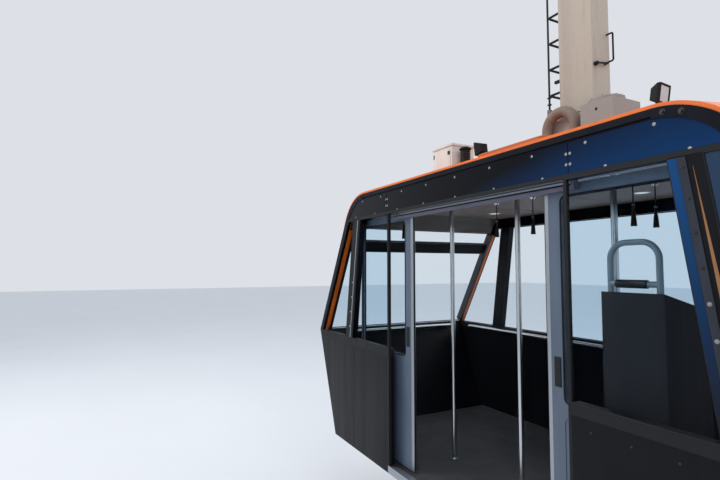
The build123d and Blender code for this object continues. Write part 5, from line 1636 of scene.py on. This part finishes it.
class CABIN_OT_carriage(CabinStep):
    """Bolt up the carriage, its rockers, its wheels and the rope clamp"""
    bl_idname = "cabin.carriage"
    bl_label = "Carriage"

    def execute(self, context):
        self.frame_bolts()
        self.clamp_bolts()
        for number in range(1, WHEEL_COUNT + 1):
            self.wheel_bolts(number)
        for number in range(1, ROCKER_COUNT + 1):
            self.rocker_caps(number)
        return {"FINISHED"}

    def frame_bolts(self):
        """Bolt pairs above the wheels, and rows down the ends of the side plates."""
        pair_half, row_z, hub_reach = 0.028, 0.350, 0.25
        end_heights = (0.16, 0.23, 0.30, 0.35)
        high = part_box("carriage_frame")[1]
        bolts = []
        for number in range(1, WHEEL_COUNT + 1):
            x = wheel_x(number)
            if abs(x) < hub_reach:
                continue
            for side in (-1, 1):
                for shift in (-pair_half, pair_half):
                    bolts.append(((x + shift, side * high.y, row_z), (0, side, 0)))
        for side in (-1, 1):
            for end in (-1, 1):
                for z in end_heights:
                    bolts.append(((end * (high.x - 0.009), side * high.y, z), (0, side, 0)))
        radius = self.sizes.bolt_radius
        fixings("frame_bolts", bolts, "carriage", "dark_bolt", Sides=6, Head_radius=radius * 0.75,
                Head_height=0.009, Crown=0.92, Washer_radius=radius, Washer_height=0.003)

    def clamp_bolts(self):
        """Bolts of the haul-rope clamp: one row on its jaw and two on its back."""
        jaw_z, back_heights = -0.200, (0.02, 0.2)
        low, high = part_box("haul_rope_clamp")
        bolts = []
        for x in (-0.11, -0.037, 0.037, 0.11):
            bolts.append(((x, low.y, jaw_z), (0, -1, 0)))
            for z in back_heights:
                bolts.append(((x, high.y, z), (0, 1, 0)))
        fixings("clamp_bolts", bolts, "carriage", "bolt_steel", Sides=6, Head_radius=0.013,
                Head_height=0.012, Crown=0.92, Washer_radius=0.018, Washer_height=0.003)

    def wheel_bolts(self, number):
        """A ring of bolts on both faces of a wheel."""
        count, bolt_circle, face_y = 8, 0.105, 0.035
        centre_x = wheel_x(number)
        bolts = []
        for side in (-1, 1):
            for x, z in circle(bolt_circle, count):
                bolts.append(((centre_x + x, side * face_y, AXLE_Z + z), (0, side, 0)))
        fixings(f"wheel_bolts_{number}", bolts, f"wheel_{number}", "dark_bolt", Sides=6, Head_radius=0.006,
                Head_height=0.0028, Crown=0.92, Washer_radius=0.008, Washer_height=0.001)

    def rocker_caps(self, number):
        """Caps on both ends of a rocker's pin and nuts on both ends of its axles."""
        pin_z = AXLE_Z + 0.057
        nut_inner, nut_outer, nut_radius = 0.0625, 0.0655, 0.015
        low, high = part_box(f"rocker_{number}")
        middle = (low.x + high.x) / 2
        caps = bmesh.new()
        for side in (-1, 1):
            inner, outer = side * (high.y - 0.0005), side * (high.y + 0.005)
            cap_ends = (middle, inner, pin_z), (middle, outer, pin_z)
            add_rod(caps, *cap_ends, radius=0.027, sides=32, end_radius=0.024, bevel=0.001)
            for x in (middle - WHEEL_PITCH / 2, middle + WHEEL_PITCH / 2):
                nut_ends = (x, side * nut_inner, AXLE_Z), (x, side * nut_outer, AXLE_Z)
                add_rod(caps, *nut_ends, nut_radius, sides=6)
        from_bmesh(f"rocker_caps_{number}", caps, "machined", f"rocker_{number}")


class CABIN_PT_panel(bpy.types.Panel):
    """The cabin's settings and its steps"""
    bl_idname = "CABIN_PT_panel"
    bl_label = "Cable Car Cabin"
    bl_space_type = "VIEW_3D"
    bl_region_type = "UI"
    bl_category = "Cabin"

    def draw(self, context):
        for group in (context.scene.cabin_sizes, context.scene.cabin_colours):
            for key in group.__annotations__:
                self.layout.prop(group, key)
        for step in STEPS:
            self.layout.operator(step.bl_idname)


STEPS = (
    CABIN_OT_camera,
    CABIN_OT_stage,
    CABIN_OT_finishes,
    CABIN_OT_glazing,
    CABIN_OT_cladding,
    CABIN_OT_roof_gear,
    CABIN_OT_hanger,
    CABIN_OT_doors,
    CABIN_OT_interior,
    CABIN_OT_carriage,
)
CLASSES = (CabinSizes, CabinColours, *STEPS, CABIN_PT_panel)


def register():
    for item in CLASSES:
        bpy.utils.register_class(item)
    bpy.types.Scene.cabin_sizes = bpy.props.PointerProperty(type=CabinSizes)
    bpy.types.Scene.cabin_colours = bpy.props.PointerProperty(type=CabinColours)


def unregister():
    del bpy.types.Scene.cabin_colours
    del bpy.types.Scene.cabin_sizes
    for item in reversed(CLASSES):
        bpy.utils.unregister_class(item)


def main():
    register()
    for step in STEPS:
        group, name = step.bl_idname.split(".")
        getattr(getattr(bpy.ops, group), name)()


if __name__ == "__main__":
    main()
